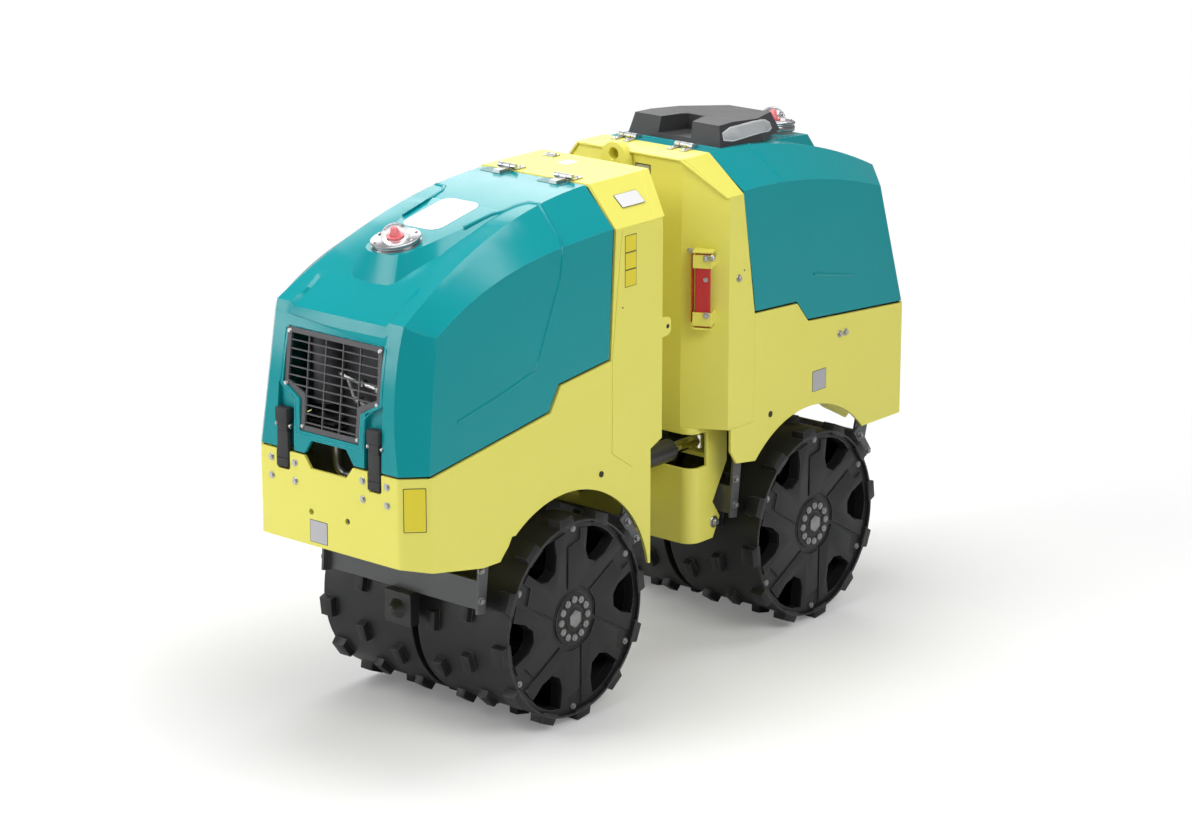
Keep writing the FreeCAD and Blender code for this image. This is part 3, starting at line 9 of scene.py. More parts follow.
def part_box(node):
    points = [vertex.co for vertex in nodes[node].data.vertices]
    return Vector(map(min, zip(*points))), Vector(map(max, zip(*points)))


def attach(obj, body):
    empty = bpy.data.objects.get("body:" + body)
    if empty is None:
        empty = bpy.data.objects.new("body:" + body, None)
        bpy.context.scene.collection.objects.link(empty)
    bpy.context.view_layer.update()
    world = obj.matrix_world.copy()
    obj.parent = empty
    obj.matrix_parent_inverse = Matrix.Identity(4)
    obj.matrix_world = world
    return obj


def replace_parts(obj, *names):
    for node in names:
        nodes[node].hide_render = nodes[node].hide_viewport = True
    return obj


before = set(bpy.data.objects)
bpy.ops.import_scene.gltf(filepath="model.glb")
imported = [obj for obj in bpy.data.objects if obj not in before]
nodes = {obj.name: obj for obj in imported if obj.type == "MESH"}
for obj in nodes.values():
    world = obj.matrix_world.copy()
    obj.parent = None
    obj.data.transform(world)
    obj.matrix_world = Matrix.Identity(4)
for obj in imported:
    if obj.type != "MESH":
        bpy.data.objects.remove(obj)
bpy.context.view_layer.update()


# ---- Studio -----------------------------------------------------------------
# The machine stands on a pale studio floor under soft lamps.  A long lens looks
# down on its front left corner.  The floor keeps the machine's shadow, and a
# painted shadow darkens it further close to the machine.
CAMERA_PLACE = Vector((7.0258, 5.9132, 3.3674))
CAMERA_TURN = math.radians(-139.858)
CAMERA_FALL = math.radians(16.436)
LENS = 108.6
CLIP_END = 100
MIDDLE = Vector((0, 0, 0.7))
WHITE = (1, 1, 1, 1)
SKY_STRENGTH = 0.30
FLOOR_REACH = 30.0
FLOOR_WHITE = (0.80, 0.80, 0.80, 1)
# Painted shadow on the floor: its grey tone, and the shift and scale of the patch it darkens.
FLOOR_PAINTED_SHADOW = (0.50, 0.50, 0.50, 1)
PAINTED_SHADOW_SHIFT = (-0.45, 0.40, 0)
PAINTED_SHADOW_SCALE = (0.72, 1.05, 1)
FLOOR_LIFT = 0.15
FADE_START, FADE_END = 1.2, 3.0

camera_data = bpy.data.cameras.new("camera")
camera_data.lens = LENS
camera_data.clip_end = CLIP_END
camera = bpy.data.objects.new("camera", camera_data)
look = Vector((
    math.cos(CAMERA_FALL) * math.cos(CAMERA_TURN),
    math.cos(CAMERA_FALL) * math.sin(CAMERA_TURN),
    -math.sin(CAMERA_FALL),
))
camera.location = CAMERA_PLACE
camera.rotation_euler = look.to_track_quat("-Z", "Y").to_euler()
bpy.context.scene.collection.objects.link(camera)
bpy.context.scene.camera = camera
bpy.context.scene.view_settings.view_transform = "Standard"


def added(tree, kind, values=None, feeds=None, **settings):
    """Outputs of a new shader node, with its settings, plain input values and linked inputs."""
    node = tree.nodes.new(f"ShaderNode{kind}")
    for name, value in settings.items():
        setattr(node, name, value)
    for name, value in (values or {}).items():
        node.inputs[name].default_value = value
    for name, socket in (feeds or {}).items():
        tree.links.new(socket, node.inputs[name])
    return node.outputs


def seen_directly(tree):
    """1 for rays that show a background to the eye or through glass, else 0."""
    path = added(tree, "LightPath")
    rays = {0: path["Is Camera Ray"], 1: path["Is Transmission Ray"]}
    return added(tree, "Math", feeds=rays, operation="MAXIMUM")[0]


def lamp(name, place, width, height, power):
    """Soft rectangular lamp that faces the machine's middle."""
    data = bpy.data.lights.new(name, "AREA")
    data.shape = "RECTANGLE"
    data.size, data.size_y, data.energy = width, height, power
    item = bpy.data.objects.new(name, data)
    item.location = place
    item.rotation_euler = (MIDDLE - Vector(place)).to_track_quat("-Z", "Y").to_euler()
    bpy.context.scene.collection.objects.link(item)


lamp("key", (4.4, -2.2, 4.9), width=3.0, height=3.0, power=195)
lamp("overhead", (-0.3, -0.6, 5.2), width=3.2, height=2.4, power=130)
lamp("side_fill", (0.9, 4.8, 4.3), width=4.0, height=2.5, power=150)
lamp("back_panel", (-5.4, -5.9, 5.1), width=6.5, height=3.2, power=215)
lamp("front_panel", (6.6, -5.6, 1.9), width=2.4, height=2.2, power=110)

world = bpy.data.worlds.new("studio")
bpy.context.scene.world = world
world.use_nodes = True
sky = world.node_tree
sky.nodes.clear()
sky_light = added(sky, "Background", {"Color": WHITE, "Strength": SKY_STRENGTH})[0]
sky_seen = added(sky, "Background", {"Color": WHITE})[0]
sky_mix = added(sky, "MixShader", feeds={0: seen_directly(sky), 1: sky_light, 2: sky_seen})[0]
added(sky, "OutputWorld", feeds={"Surface": sky_mix})

# The matt floor is greyer close to the machine, with a painted shadow that is
# darkest beside the right flank of its front half.  Far off, where only the eye
# meets it, it turns into plain white light.
floor_material = bpy.data.materials.new("studio_floor")
floor_material.use_nodes = True
ground = floor_material.node_tree
ground.nodes.clear()
spot = added(ground, "TexCoord")["Object"]
near = added(ground, "Mapping", {"Location": PAINTED_SHADOW_SHIFT, "Scale": PAINTED_SHADOW_SCALE}, {"Vector": spot})[0]
reach = added(ground, "VectorMath", feeds={0: near}, operation="LENGTH")["Value"]
painted_shadow_share = added(ground, "MapRange", feeds={"Value": reach}, interpolation_type="SMOOTHSTEP")["Result"]
tones = {"A": FLOOR_PAINTED_SHADOW, "B": FLOOR_WHITE}
tone = added(ground, "Mix", tones, {"Factor": painted_shadow_share}, data_type="RGBA")["Result"]
matt = added(ground, "BsdfDiffuse", feeds={"Color": tone})[0]
lift = added(ground, "Math", {1: FLOOR_LIFT}, {0: seen_directly(ground)}, operation="MULTIPLY")[0]
glow = added(ground, "Emission", feeds={"Strength": lift})[0]
lifted = added(ground, "AddShader", feeds={0: matt, 1: glow})[0]
distance = added(ground, "VectorMath", feeds={0: spot}, operation="LENGTH")["Value"]
ends = {"From Min": FADE_START, "From Max": FADE_END}
fade = added(ground, "MapRange", ends, {"Value": distance}, interpolation_type="SMOOTHSTEP")["Result"]
share = added(ground, "Math", feeds={0: seen_directly(ground), 1: fade}, operation="MULTIPLY")[0]
white = added(ground, "Emission")[0]
surface = added(ground, "MixShader", feeds={0: share, 1: lifted, 2: white})[0]
added(ground, "OutputMaterial", feeds={"Surface": surface})

floor_mesh = bpy.data.meshes.new("floor")
floor_bm = bmesh.new()
bmesh.ops.create_grid(floor_bm, x_segments=1, y_segments=1, size=FLOOR_REACH)
floor_bm.to_mesh(floor_mesh)
floor_bm.free()
floor_mesh.materials.append(floor_material)
floor = bpy.data.objects.new("floor", floor_mesh)
bpy.context.scene.collection.objects.link(floor)


# ---- Sheet-metal chassis ----------------------------------------------------
# The half frames, the cover over the pivot, the bulkhead and its nose are folded
# and welded steel sheet, powder coated lime yellow.  Cut edges are broken by a
# small radius, and the coat has a fine orange-peel skin and a little road dust.
LIME = (0.800, 0.755, 0.140)
LIME_DEEP = (0.765, 0.715, 0.120)
LIME_WORN = (0.44, 0.42, 0.18)
CLOUD_SCALE, CLOUD_DETAIL = 4.5, 5
GRAIN_DETAIL, GRAIN_STRENGTH = 3, 0.35
SMUDGE_SCALE, SMUDGE_DETAIL = 14, 6
EDGE_FLAT, EDGE_SHARP, EDGE_SAMPLES = 0.99, 0.80, 4
PATCH_SPREAD = 0.22
WELD = 0.00002


def finish_of(
    name, colour, second, rough, grain, depth,
    metallic=0.0, level=0.5, edge_wear_and_highlight=None, edge=0.0018, rough_step=0.12, patch_from=0.50,
):
    """Painted, cast, moulded or plated surface: cloudy colour, grain, uneven gloss and an edge tint, which is
    wear on some finishes and a painted highlight on others.
    """
    material = bpy.data.materials.new(name)
    material.use_nodes = True
    tree = material.node_tree
    place = {"Vector": added(tree, "TexCoord")["Object"]}
    clouds = added(tree, "TexNoise", {"Scale": CLOUD_SCALE, "Detail": CLOUD_DETAIL}, place)["Fac"]
    skin = added(tree, "TexNoise", {"Scale": grain, "Detail": GRAIN_DETAIL}, place)["Fac"]
    smudge = added(tree, "TexNoise", {"Scale": SMUDGE_SCALE, "Detail": SMUDGE_DETAIL}, place)["Fac"]
    pair = {"A": (*colour, 1), "B": (*second, 1)}
    tint = added(tree, "Mix", pair, {"Factor": clouds}, data_type="RGBA")["Result"]
    bump = added(tree, "Bump", {"Strength": GRAIN_STRENGTH, "Distance": depth}, {"Height": skin})[0]
    ends = {"To Min": rough - rough_step / 2, "To Max": rough + rough_step / 2}
    gloss = added(tree, "MapRange", ends, {"Value": smudge})["Result"]
    # Edge tint: wear on some finishes, a painted highlight on others.
    if edge_wear_and_highlight:
        rounded = added(tree, "Bevel", {"Radius": edge}, samples=EDGE_SAMPLES)[0]
        plain = added(tree, "NewGeometry")["Normal"]
        turn = added(tree, "VectorMath", feeds={0: rounded, 1: plain}, operation="DOT_PRODUCT")["Value"]
        bend = {"From Min": EDGE_FLAT, "From Max": EDGE_SHARP}
        rim = added(tree, "MapRange", bend, {"Value": turn})["Result"]
        spread = {"From Min": patch_from, "From Max": patch_from + PATCH_SPREAD}
        edge_patches = added(tree, "MapRange", spread, {"Value": smudge})["Result"]
        wear_and_highlight_mask = added(tree, "Math", feeds={0: rim, 1: edge_patches}, operation="MULTIPLY")[0]
        tint = added(tree, "Mix", {"B": (*edge_wear_and_highlight, 1)}, {"Factor": wear_and_highlight_mask, "A": tint}, data_type="RGBA")["Result"]
    shader = tree.nodes["Principled BSDF"]
    shader.inputs["Metallic"].default_value = metallic
    shader.inputs["Specular IOR Level"].default_value = level
    for socket, feed in (("Base Color", tint), ("Roughness", gloss), ("Normal", bump)):
        tree.links.new(feed, shader.inputs[socket])
    return material


def shade(bm, angle):
    """Smooth shading, broken along edges that turn by more than the angle."""
    for face in bm.faces:
        face.smooth = True
    for edge in bm.edges:
        edge.smooth = len(edge.link_faces) == 2 and edge.calc_face_angle(0) < math.radians(angle)


def piece(name, bm, material, body, angle=35):
    """Turns a finished bmesh into a piece that rides on a body."""
    bmesh.ops.recalc_face_normals(bm, faces=bm.faces)
    shade(bm, angle)
    mesh = bpy.data.meshes.new(name)
    bm.to_mesh(mesh)
    bm.free()
    mesh.materials.append(material)
    item = bpy.data.objects.new(name, mesh)
    bpy.context.scene.collection.objects.link(item)
    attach(item, body)
    return item


def dressed(node, material, body, width, segments=2, turn=22, merge=0.6):
    """Copy of a CAD node with merged faces and rounded edges, which stands for the node."""
    bm = bmesh.new()
    bm.from_mesh(nodes[node].data)
    bmesh.ops.remove_doubles(bm, verts=bm.verts, dist=WELD)
    bmesh.ops.dissolve_limit(bm, angle_limit=math.radians(merge), verts=bm.verts, edges=bm.edges)
    item = piece(f"{node}_made", bm, material, body)
    rounding = item.modifiers.new("rounding", "BEVEL")
    rounding.width = width
    rounding.segments = segments
    rounding.limit_method = "ANGLE"
    rounding.angle_limit = math.radians(turn)
    rounding.use_clamp_overlap = True
    rounding.harden_normals = True
    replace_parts(item, node)
    return item


SHEET_EDGE = 0.0022
lime = finish_of("lime_powder_coat", LIME, LIME_DEEP, rough=0.42, grain=420, depth=0.0002, edge_wear_and_highlight=LIME_WORN)
for node in ("front_frame", "front_cover", "front_yoke", "cylinder_foot"):
    dressed(node, lime, "front_half", SHEET_EDGE)
for node in ("rear_frame", "rear_bulkhead", "rear_nose", "lifting_eye"):
    dressed(node, lime, "rear_half", SHEET_EDGE)


# ---- Bolts of the chassis ---------------------------------------------------
# Zinc-plated hexagon bolts with washers hold the sills, the engine mounts and
# the deck to the folded sheet.  They stand proud of the lime coat.
ZINC = (0.60, 0.60, 0.59)
ZINC_DULL = (0.43, 0.43, 0.42)
zinc = finish_of("zinc_plate", ZINC, ZINC_DULL, 0.34, 260, 0.0001, metallic=1.0)
HEAD_HEIGHT, WASHER_SHARE = 1.15, 0.25
HEAD_ROUND, WASHER_ROUND = 0.14, 0.08
SUNK = 0.002


def stand(place, outward):
    """Matrix that stands a shape made along +Z on a surface."""
    turn = Vector(outward).normalized().to_track_quat("Z", "Y").to_matrix().to_4x4()
    return Matrix.Translation(place) @ turn


def disc(bm, matrix, radius, low, high, sides=24, top=None):
    """Short round bar or cone along the matrix's Z axis, between two heights."""
    end = radius if top is None else top
    matrix = matrix @ Matrix.Translation((0, 0, (low + high) / 2))
    made = bmesh.ops.create_cone(
        bm, cap_ends=True, segments=sides, radius1=radius, radius2=end, depth=high - low, matrix=matrix
    )
    return made["verts"]


def soften(bm, verts, width, segments=2, turn=40):
    """Rounds the sharp edges of the shape that the vertices belong to."""
    sharp = math.radians(turn)
    edges = {edge for vert in verts for edge in vert.link_edges if edge.calc_face_angle(0) > sharp}
    bmesh.ops.bevel(
        bm, geom=list(edges), offset=width, segments=segments, profile=0.5, affect="EDGES", material=-1,
        clamp_overlap=True,
    )


def bolt(bm, place, outward, radius, washer=1.5, flat=None):
    """Hexagon bolt head on its washer, with the height given where room is short."""
    matrix = stand(place, outward)
    height = flat or radius * HEAD_HEIGHT
    seat = height * WASHER_SHARE
    soften(bm, disc(bm, matrix, radius * washer, -SUNK, seat), height * WASHER_ROUND, 1)
    soften(bm, disc(bm, matrix, radius, seat, height, 6), height * HEAD_ROUND, 1)


front_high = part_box("front_frame")[1]
NOSE, SIDE = front_high.x, front_high.y
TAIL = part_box("rear_frame")[0].x
END_BOLT, END_HEAD, END_RAISE = 0.0065, 0.0054, 0.045
FLANK_BOLT, NOSE_BOLT = 0.007, 0.011
front_bolts = bmesh.new()
rear_bolts = bmesh.new()
for side in (-1, 1):
    for across in (0.1963, 0.115):
        for height in (0.741, 0.694):
            bolt(front_bolts, (NOSE, side * across, height), (1, 0, 0), END_BOLT, flat=END_HEAD)
            bolt(rear_bolts, (TAIL, side * across, height + END_RAISE), (-1, 0, 0), END_BOLT, flat=END_HEAD)
    for x, z in ((-0.6775, 0.787), (-0.7045, 0.787), (-0.2245, 1.032)):
        bolt(rear_bolts, (x, side * SIDE, z), (0, side, 0), FLANK_BOLT)
    bolt(rear_bolts, (-0.221, side * 0.216, 0.345), (0, side, 0), NOSE_BOLT)
piece("front_frame_bolts", front_bolts, zinc, "front_half")
piece("rear_frame_bolts", rear_bolts, zinc, "rear_half")

# Dark discs stand for the open holes of the flanks, with the shade inside each
# hole painted on them.  Each is given as x, z and radius.
HOLE_SHADE = (0.035, 0.033, 0.02)
shadow = finish_of("painted_hole_shade", HOLE_SHADE, HOLE_SHADE, 0.9, 90, 0.0001)
for end, proud, places in (
    ("rear", 0.0004, ((-0.2479, 1.0495, 0.0025), (-0.3698, 0.627, 0.009))),
    ("front", 0.0026, ((0.2555, 1.049, 0.0025), (0.338, 0.6275, 0.008))),
):
    holes = bmesh.new()
    for side in (-1, 1):
        for x, z, radius in places:
            disc(holes, stand((x, side * SIDE, z), (0, side, 0)), radius, -SUNK, proud, 20)
    piece(f"{end}_frame_holes", holes, shadow, f"{end}_half")


# ---- Sheet edges ------------------------------------------------------------
# The roof and shoulder sheets of the cover and the bulkhead overhang the walls
# below them.  The cover's side sheets lap over the half frame, down to a point,
# and on the left one a holed tab is left for the steering lock.
SHEET = 0.005
ROOF, SHOULDER = 1.3530, 1.2564
OVERHANG_BACK = 0.030


def plate(bm, corners, thickness, width=0.0008):
    """Flat plate of convex outline, thickened by a vector, with its edges broken."""
    steps = (Vector(), Vector(thickness))
    verts = [bm.verts.new(Vector(corner) + step) for corner in corners for step in steps]
    found = bmesh.ops.convex_hull(bm, input=verts)["geom"]
    soften(bm, [item for item in found if isinstance(item, bmesh.types.BMVert)], width, 1)


def overhang(bm, direction, ridge_x, corner_x, half, reach):
    """Roof strip and two shoulder strips that stand out past a wall by a reach."""
    out, inner = direction * reach, -direction * OVERHANG_BACK
    roof = ((ridge_x + out, -half), (ridge_x + out, half), (ridge_x + inner, half), (ridge_x + inner, -half))
    plate(bm, [(x, y, ROOF) for x, y in roof], (0, 0, -SHEET))
    for side in (-1, 1):
        slope = Vector((0, -side * (ROOF - SHOULDER), -(SIDE - half))).normalized() * SHEET
        high = [(ridge_x + step, side * half, ROOF) for step in (out, inner)]
        low = [(corner_x + step, side * SIDE, SHOULDER) for step in (out, inner)]
        plate(bm, [high[0], low[0], low[1], high[1]], slope)


LAP, LAP_EDGE = 0.0022, 0.0006
LAP_SHEET = [
    (0.0955, 1.250), (0.2560, 1.250), (0.2945, 0.925), (0.2945, 0.671), (0.2145, 0.618), (0.0955, 0.669),
]
TAB = [(0.104, 0.936), (0.068, 0.941), (0.060, 0.950), (0.060, 0.979), (0.067, 0.987), (0.104, 0.992)]
TAB_BACK, TAB_THICK = 0.004, 0.0058
sheets = bmesh.new()
overhang(sheets, -1, ridge_x=0.0265, corner_x=0.0950, half=0.1800, reach=0.009)
for side in (-1, 1):
    plate(sheets, [(x, side * (SIDE - LAP), z) for x, z in LAP_SHEET], (0, side * 2 * LAP, 0), LAP_EDGE)
plate(sheets, [(x, SIDE - TAB_BACK, z) for x, z in TAB], (0, TAB_THICK, 0), LAP_EDGE)
piece("front_cover_sheets", sheets, lime, "front_half")
sheets = bmesh.new()
overhang(sheets, 1, ridge_x=-0.1245, corner_x=-0.1845, half=0.1750, reach=0.010)
piece("rear_bulkhead_sheets", sheets, lime, "rear_half")
# The tab's hole is a dark disc, with the shade inside the hole painted on it.
tab_hole = bmesh.new()
disc(tab_hole, stand((0.0735, SIDE, 0.9635), (0, 1, 0)), radius=0.0060, low=0.0010, high=0.0022, sides=20)
piece("front_cover_tab_hole", tab_hole, shadow, "front_half")

# A small plated clasp of two leaves and a barrel lies on the cover's roof.
CLASP_RIGHT, CLASP_LEFT, CLASP_SEAT = -0.130, -0.094, 1.352
LEAF_LONG, LEAF_THICK = 0.014, 0.004
clasp = bmesh.new()
for x in (0.046, 0.064):
    leaf = ((x, CLASP_RIGHT), (x + LEAF_LONG, CLASP_RIGHT), (x + LEAF_LONG, CLASP_LEFT), (x, CLASP_LEFT))
    plate(clasp, [(*corner, CLASP_SEAT) for corner in leaf], (0, 0, LEAF_THICK))
disc(clasp, stand((0.062, -0.128, 1.3580), (0, 1, 0)), radius=0.0038, low=0, high=0.032, sides=16)
piece("front_cover_clasp", clasp, zinc, "front_half")


# ---- Hoods ------------------------------------------------------------------
# Both hoods are deep teal plastic mouldings with a satin gel skin.  Their long
# shoulders are pressed as rounded ridges, and they lift on hinges at the middle.
TEAL = (0.002, 0.285, 0.312)
TEAL_DEEP = (0.002, 0.265, 0.290)
# A lighter teal laid along the hoods' rounded edges is a painted highlight.
TEAL_EDGE_HIGHLIGHT = (0.10, 0.46, 0.50)
teal = finish_of(
    "teal_gel_skin", TEAL, TEAL_DEEP, rough=0.20, grain=330, depth=0.0001,
    edge_wear_and_highlight=TEAL_EDGE_HIGHLIGHT, level=0.26, patch_from=0.28,
)
shells = {
    end: dressed(f"{end}_hood", teal, f"{end}_hood_lid", 0.007, segments=3, turn=16, merge=0.05)
    for end in ("front", "rear")
}
DOWN = Vector((0, 0, -1))


def skin_of(node):
    """Tree of a CAD node's faces, to lay thin pieces on it."""
    mesh = nodes[node].data
    return BVHTree.FromPolygons([v.co for v in mesh.vertices], [p.vertices for p in mesh.polygons])


# The raised middle of the front hood is pressed anew, as a closed form that
# tapers to its tip.  The old one's faces go, and the skin is bridged below it.
front_skin, rear_skin = skin_of("front_hood"), skin_of("rear_hood")
HOOD_WALL = 0.005
SPINE_TOP = [
    (0.520, 0.115), (0.604, 0.107), (0.7046, 0.0886), (0.7587, 0.0788),
    (0.810, 0.067), (0.826, 0.055), (0.836, 0.0375), (0.841, 0.013),
]
SPINE_FOOT = [
    (0.540, 0.124, 1.3130), (0.630, 0.126, 1.2880), (0.7415, 0.118, 1.2500), (0.787, 0.1035, 1.2310),
    (0.834, 0.0865, 1.2090), (0.860, 0.073, 1.1960), (0.870, 0.054, 1.1900), (0.873, 0.018, 1.1890),
]
SPINE_HIGH, SPINE_FALL, SPINE_ROOT = 1.3210, 0.208, 0.020
SPINE_BACK, SPINE_FRONT, SPINE_ABOVE = 0.519, 0.912, 1.15
SPINE_HALF, SPINE_INNER_HALF = 0.117, 0.1065


def spine_height(x):
    """Height of the spine's sloping top."""
    return SPINE_HIGH - SPINE_FALL * (x - SPINE_TOP[0][0])


def inner_side(vert):
    """Whether a vertex lies under the hood's outer skin."""
    beside = Vector((vert.co.x, 0.140, 1.5))
    return vert.co.z < front_skin.ray_cast(beside, DOWN)[0].z - HOOD_WALL


def on_spine(vert):
    """Whether a vertex belongs to the raised middle of the hood."""
    if not SPINE_BACK < vert.co.x < SPINE_FRONT or vert.co.z < SPINE_ABOVE:
        return False
    return abs(vert.co.y) < (SPINE_INNER_HALF if inner_side(vert) else SPINE_HALF)


pressed = bmesh.new()
pressed.from_mesh(shells["front"].data)
raised = [face for face in pressed.faces if all(on_spine(vert) for vert in face.verts)]
bmesh.ops.delete(pressed, geom=raised, context="FACES")
for inner in (False, True):
    chains = []
    for side in (1, -1):
        border = {v for v in pressed.verts if v.is_boundary and side * v.co.y > 0 and inner_side(v) == inner}
        chains += [edge for edge in pressed.edges if edge.is_boundary and set(edge.verts) <= border]
    bmesh.ops.bridge_loops(pressed, edges=chains)

# A shallow recess is pressed into the nose, and deepens towards the grille.
RECESS_HALF, RECESS_RAMP, RECESS_START, RECESS_END, RECESS_DEEP = 0.152, 0.014, 0.815, 0.981, 0.010
NOSE_LOW, NOSE_HIGH, NOSE_BACK = 1.10, 1.25, 0.70
cuts = [((RECESS_START, 0, 0), (1, 0, 0))]
for side in (-1, 1):
    cuts += [((0, side * across, 0), (0, 1, 0)) for across in (RECESS_HALF, RECESS_HALF + RECESS_RAMP)]
for place, normal in cuts:
    centres = {face: face.calc_center_median() for face in pressed.faces}
    upper = [face for face, centre in centres.items() if centre.z > NOSE_LOW and centre.x > NOSE_BACK]
    geometry = list({item for face in upper for item in (*face.verts, *face.edges)}) + upper
    bmesh.ops.bisect_plane(pressed, geom=geometry, plane_co=place, plane_no=normal)
for vert in pressed.verts:
    if abs(vert.co.y) < RECESS_HALF + 0.001 and vert.co.x > RECESS_START and NOSE_LOW < vert.co.z < NOSE_HIGH:
        vert.co.z -= RECESS_DEEP * (vert.co.x - RECESS_START) / (RECESS_END - RECESS_START)

crown = [pressed.verts.new((x, y, spine_height(x))) for x, y in SPINE_TOP]
crown += [pressed.verts.new((vert.co.x, -vert.co.y, vert.co.z)) for vert in reversed(crown)]
foot = [pressed.verts.new(point) for point in SPINE_FOOT]
foot += [pressed.verts.new((vert.co.x, -vert.co.y, vert.co.z)) for vert in reversed(foot)]
falls = [(low.co - high.co).normalized() for high, low in zip(crown, foot)]
root = [pressed.verts.new(low.co + fall * SPINE_ROOT) for low, fall in zip(foot, falls)]
pressed.faces.new(crown)
pressed.faces.new(root[::-1])
for above, below in ((crown, foot), (foot, root)):
    for index in range(len(crown)):
        before = index - 1
        pressed.faces.new((above[index], above[before], below[before], below[index]))
bmesh.ops.recalc_face_normals(pressed, faces=pressed.faces)
bmesh.ops.dissolve_limit(pressed, angle_limit=math.radians(0.05), verts=pressed.verts, edges=pressed.edges)
shade(pressed, 35)
pressed.to_mesh(shells["front"].data)
pressed.free()


# ---- Pressed lines of the hoods ---------------------------------------------
# A shallow raised band is moulded with each hood's skin and stiffens its broad
# panels.  In front it runs from the raised middle over the shoulder and down.
def swept(bm, points, radius, sides=10):
    """Round bar that follows a line of points."""
    rings = []
    for before, point, after in zip(points[:1] + points, points, points[1:] + points[-1:]):
        matrix = stand(point, Vector(after) - Vector(before))
        made = bmesh.ops.create_circle(bm, cap_ends=False, segments=sides, radius=radius, matrix=matrix)
        rings.append(made["verts"])
    rounds = [
        [edge for edge in bm.edges if edge.verts[0] in ring and edge.verts[1] in ring] for ring in rings
    ]
    for first, second in zip(rounds, rounds[1:]):
        bmesh.ops.bridge_loops(bm, edges=first + second)
    for ring in (rings[0], rings[-1]):
        bmesh.ops.contextual_create(bm, geom=ring)


def between(points, step):
    """Points of a polyline, with more put in so that none lie further apart than the step."""
    found = []
    for first, second in zip(points, points[1:]):
        length = math.dist(first, second)
        parts = max(1, int(length / step))
        found += [[a + (b - a) * part / parts for a, b in zip(first, second)] for part in range(parts)]
    return found + [list(points[-1])]


RIBBON_STEP, RIBBON_SUNK, ROUND_END = 0.03, 0.001, 0.55


def ribbon(bm, skin, points, wide, proud, tip=1.0, rounded=False):
    """Shallow raised band that follows a skin through some points, and may narrow to its tip."""
    path = between(points, RIBBON_STEP)
    feet = [skin.find_nearest(Vector(point))[:2] for point in path]
    count = len(feet)
    rings = []
    for index, (place, normal) in enumerate(feet):
        before = feet[max(index - 1, 0)][0]
        after = feet[min(index + 1, count - 1)][0]
        across = normal.cross(after - before).normalized()
        scale = 1 + (tip - 1) * index / (count - 1)
        if rounded and index in (0, count - 1):
            scale *= ROUND_END
        half = wide / 2 * scale
        edge = min(half * 0.5, proud)
        high = proud * scale
        profile = ((-half, -RIBBON_SUNK), (edge - half, high), (half - edge, high), (half, -RIBBON_SUNK))
        verts = [bm.verts.new(place + across * aside + normal * up) for aside, up in profile]
        rings.append([bm.edges.new((verts[corner], verts[(corner + 1) % 4])) for corner in range(4)])
    for first, second in zip(rings, rings[1:]):
        bmesh.ops.bridge_loops(bm, edges=first + second)
    for ring in (rings[0], rings[-1]):
        bmesh.ops.contextual_create(bm, geom=ring)


def handed(points, side):
    """The points as they are, or mirrored to the machine's right side."""
    return [(x, side * y, z) for x, y, z in points]


FRONT_CREASE = [
    (0.640, 0.101, 1.297), (0.549, 0.114, 1.316), (0.470, 0.127, 1.334), (0.444, 0.142, 1.336),
    (0.441, 0.173, 1.336), (0.474, 0.283, 1.250), (0.485, 0.300, 1.171), (0.582, 0.300, 0.954),
    (0.700, 0.300, 0.922), (0.869, 0.300, 0.885),
]
REAR_CREASE = [(-0.418, 0.170, 1.345), (-0.424, 0.282, 1.260)]
REAR_FLUTE = [(-0.560, 0.300, 0.978), (-0.756, 0.300, 0.938)]
CREASE_WIDE, CREASE_PROUD = 0.013, 0.0032
for end, skin, lines, tip in (
    ("front", front_skin, [FRONT_CREASE], 0.8),
    ("rear", rear_skin, [REAR_CREASE, REAR_FLUTE], 0.5),
):
    beads = bmesh.new()
    for side in (-1, 1):
        for line in lines:
            ribbon(beads, skin, handed(line, side), CREASE_WIDE, CREASE_PROUD, tip)
    piece(f"{end}_hood_beads", beads, teal, f"{end}_hood_lid", 60)

# A black rubber seal lies behind the joint between each hood and its half frame.
seal_rubber = finish_of("seal_rubber", (0.012, 0.012, 0.012), (0.018, 0.018, 0.018), 0.8, 160, 0.0003)
SEAL_RADIUS, SEAL_SIDE = 0.009, 0.266
for end, line in (
    ("front", [(0.500, 0.880), (0.540, 0.826), (0.560, 0.819), (0.950, 0.766)]),
    ("rear", [(-0.455, 0.893), (-0.500, 0.846), (-0.522, 0.843), (-0.975, 0.811)]),
):
    seals = bmesh.new()
    for side in (-1, 1):
        swept(seals, [(x, side * SEAL_SIDE, z) for x, z in line], SEAL_RADIUS)
    piece(f"{end}_frame_seals", seals, seal_rubber, f"{end}_half")

# A fine lip is moulded round the opening for the grille.
LIP_X, LIP_WIDE, LIP_PROUD = 1.06, 0.0045, 0.0016
LIP = [(LIP_X, 0.168, 1.085), (LIP_X, 0.171, 0.940), (LIP_X, 0.118, 0.899), (LIP_X, 0.113, 0.817)]
lip = bmesh.new()
ribbon(lip, front_skin, LIP + handed(LIP[::-1], -1) + LIP[:1], LIP_WIDE, LIP_PROUD)
piece("front_hood_grille_rim", lip, teal, "front_hood_lid", 60)


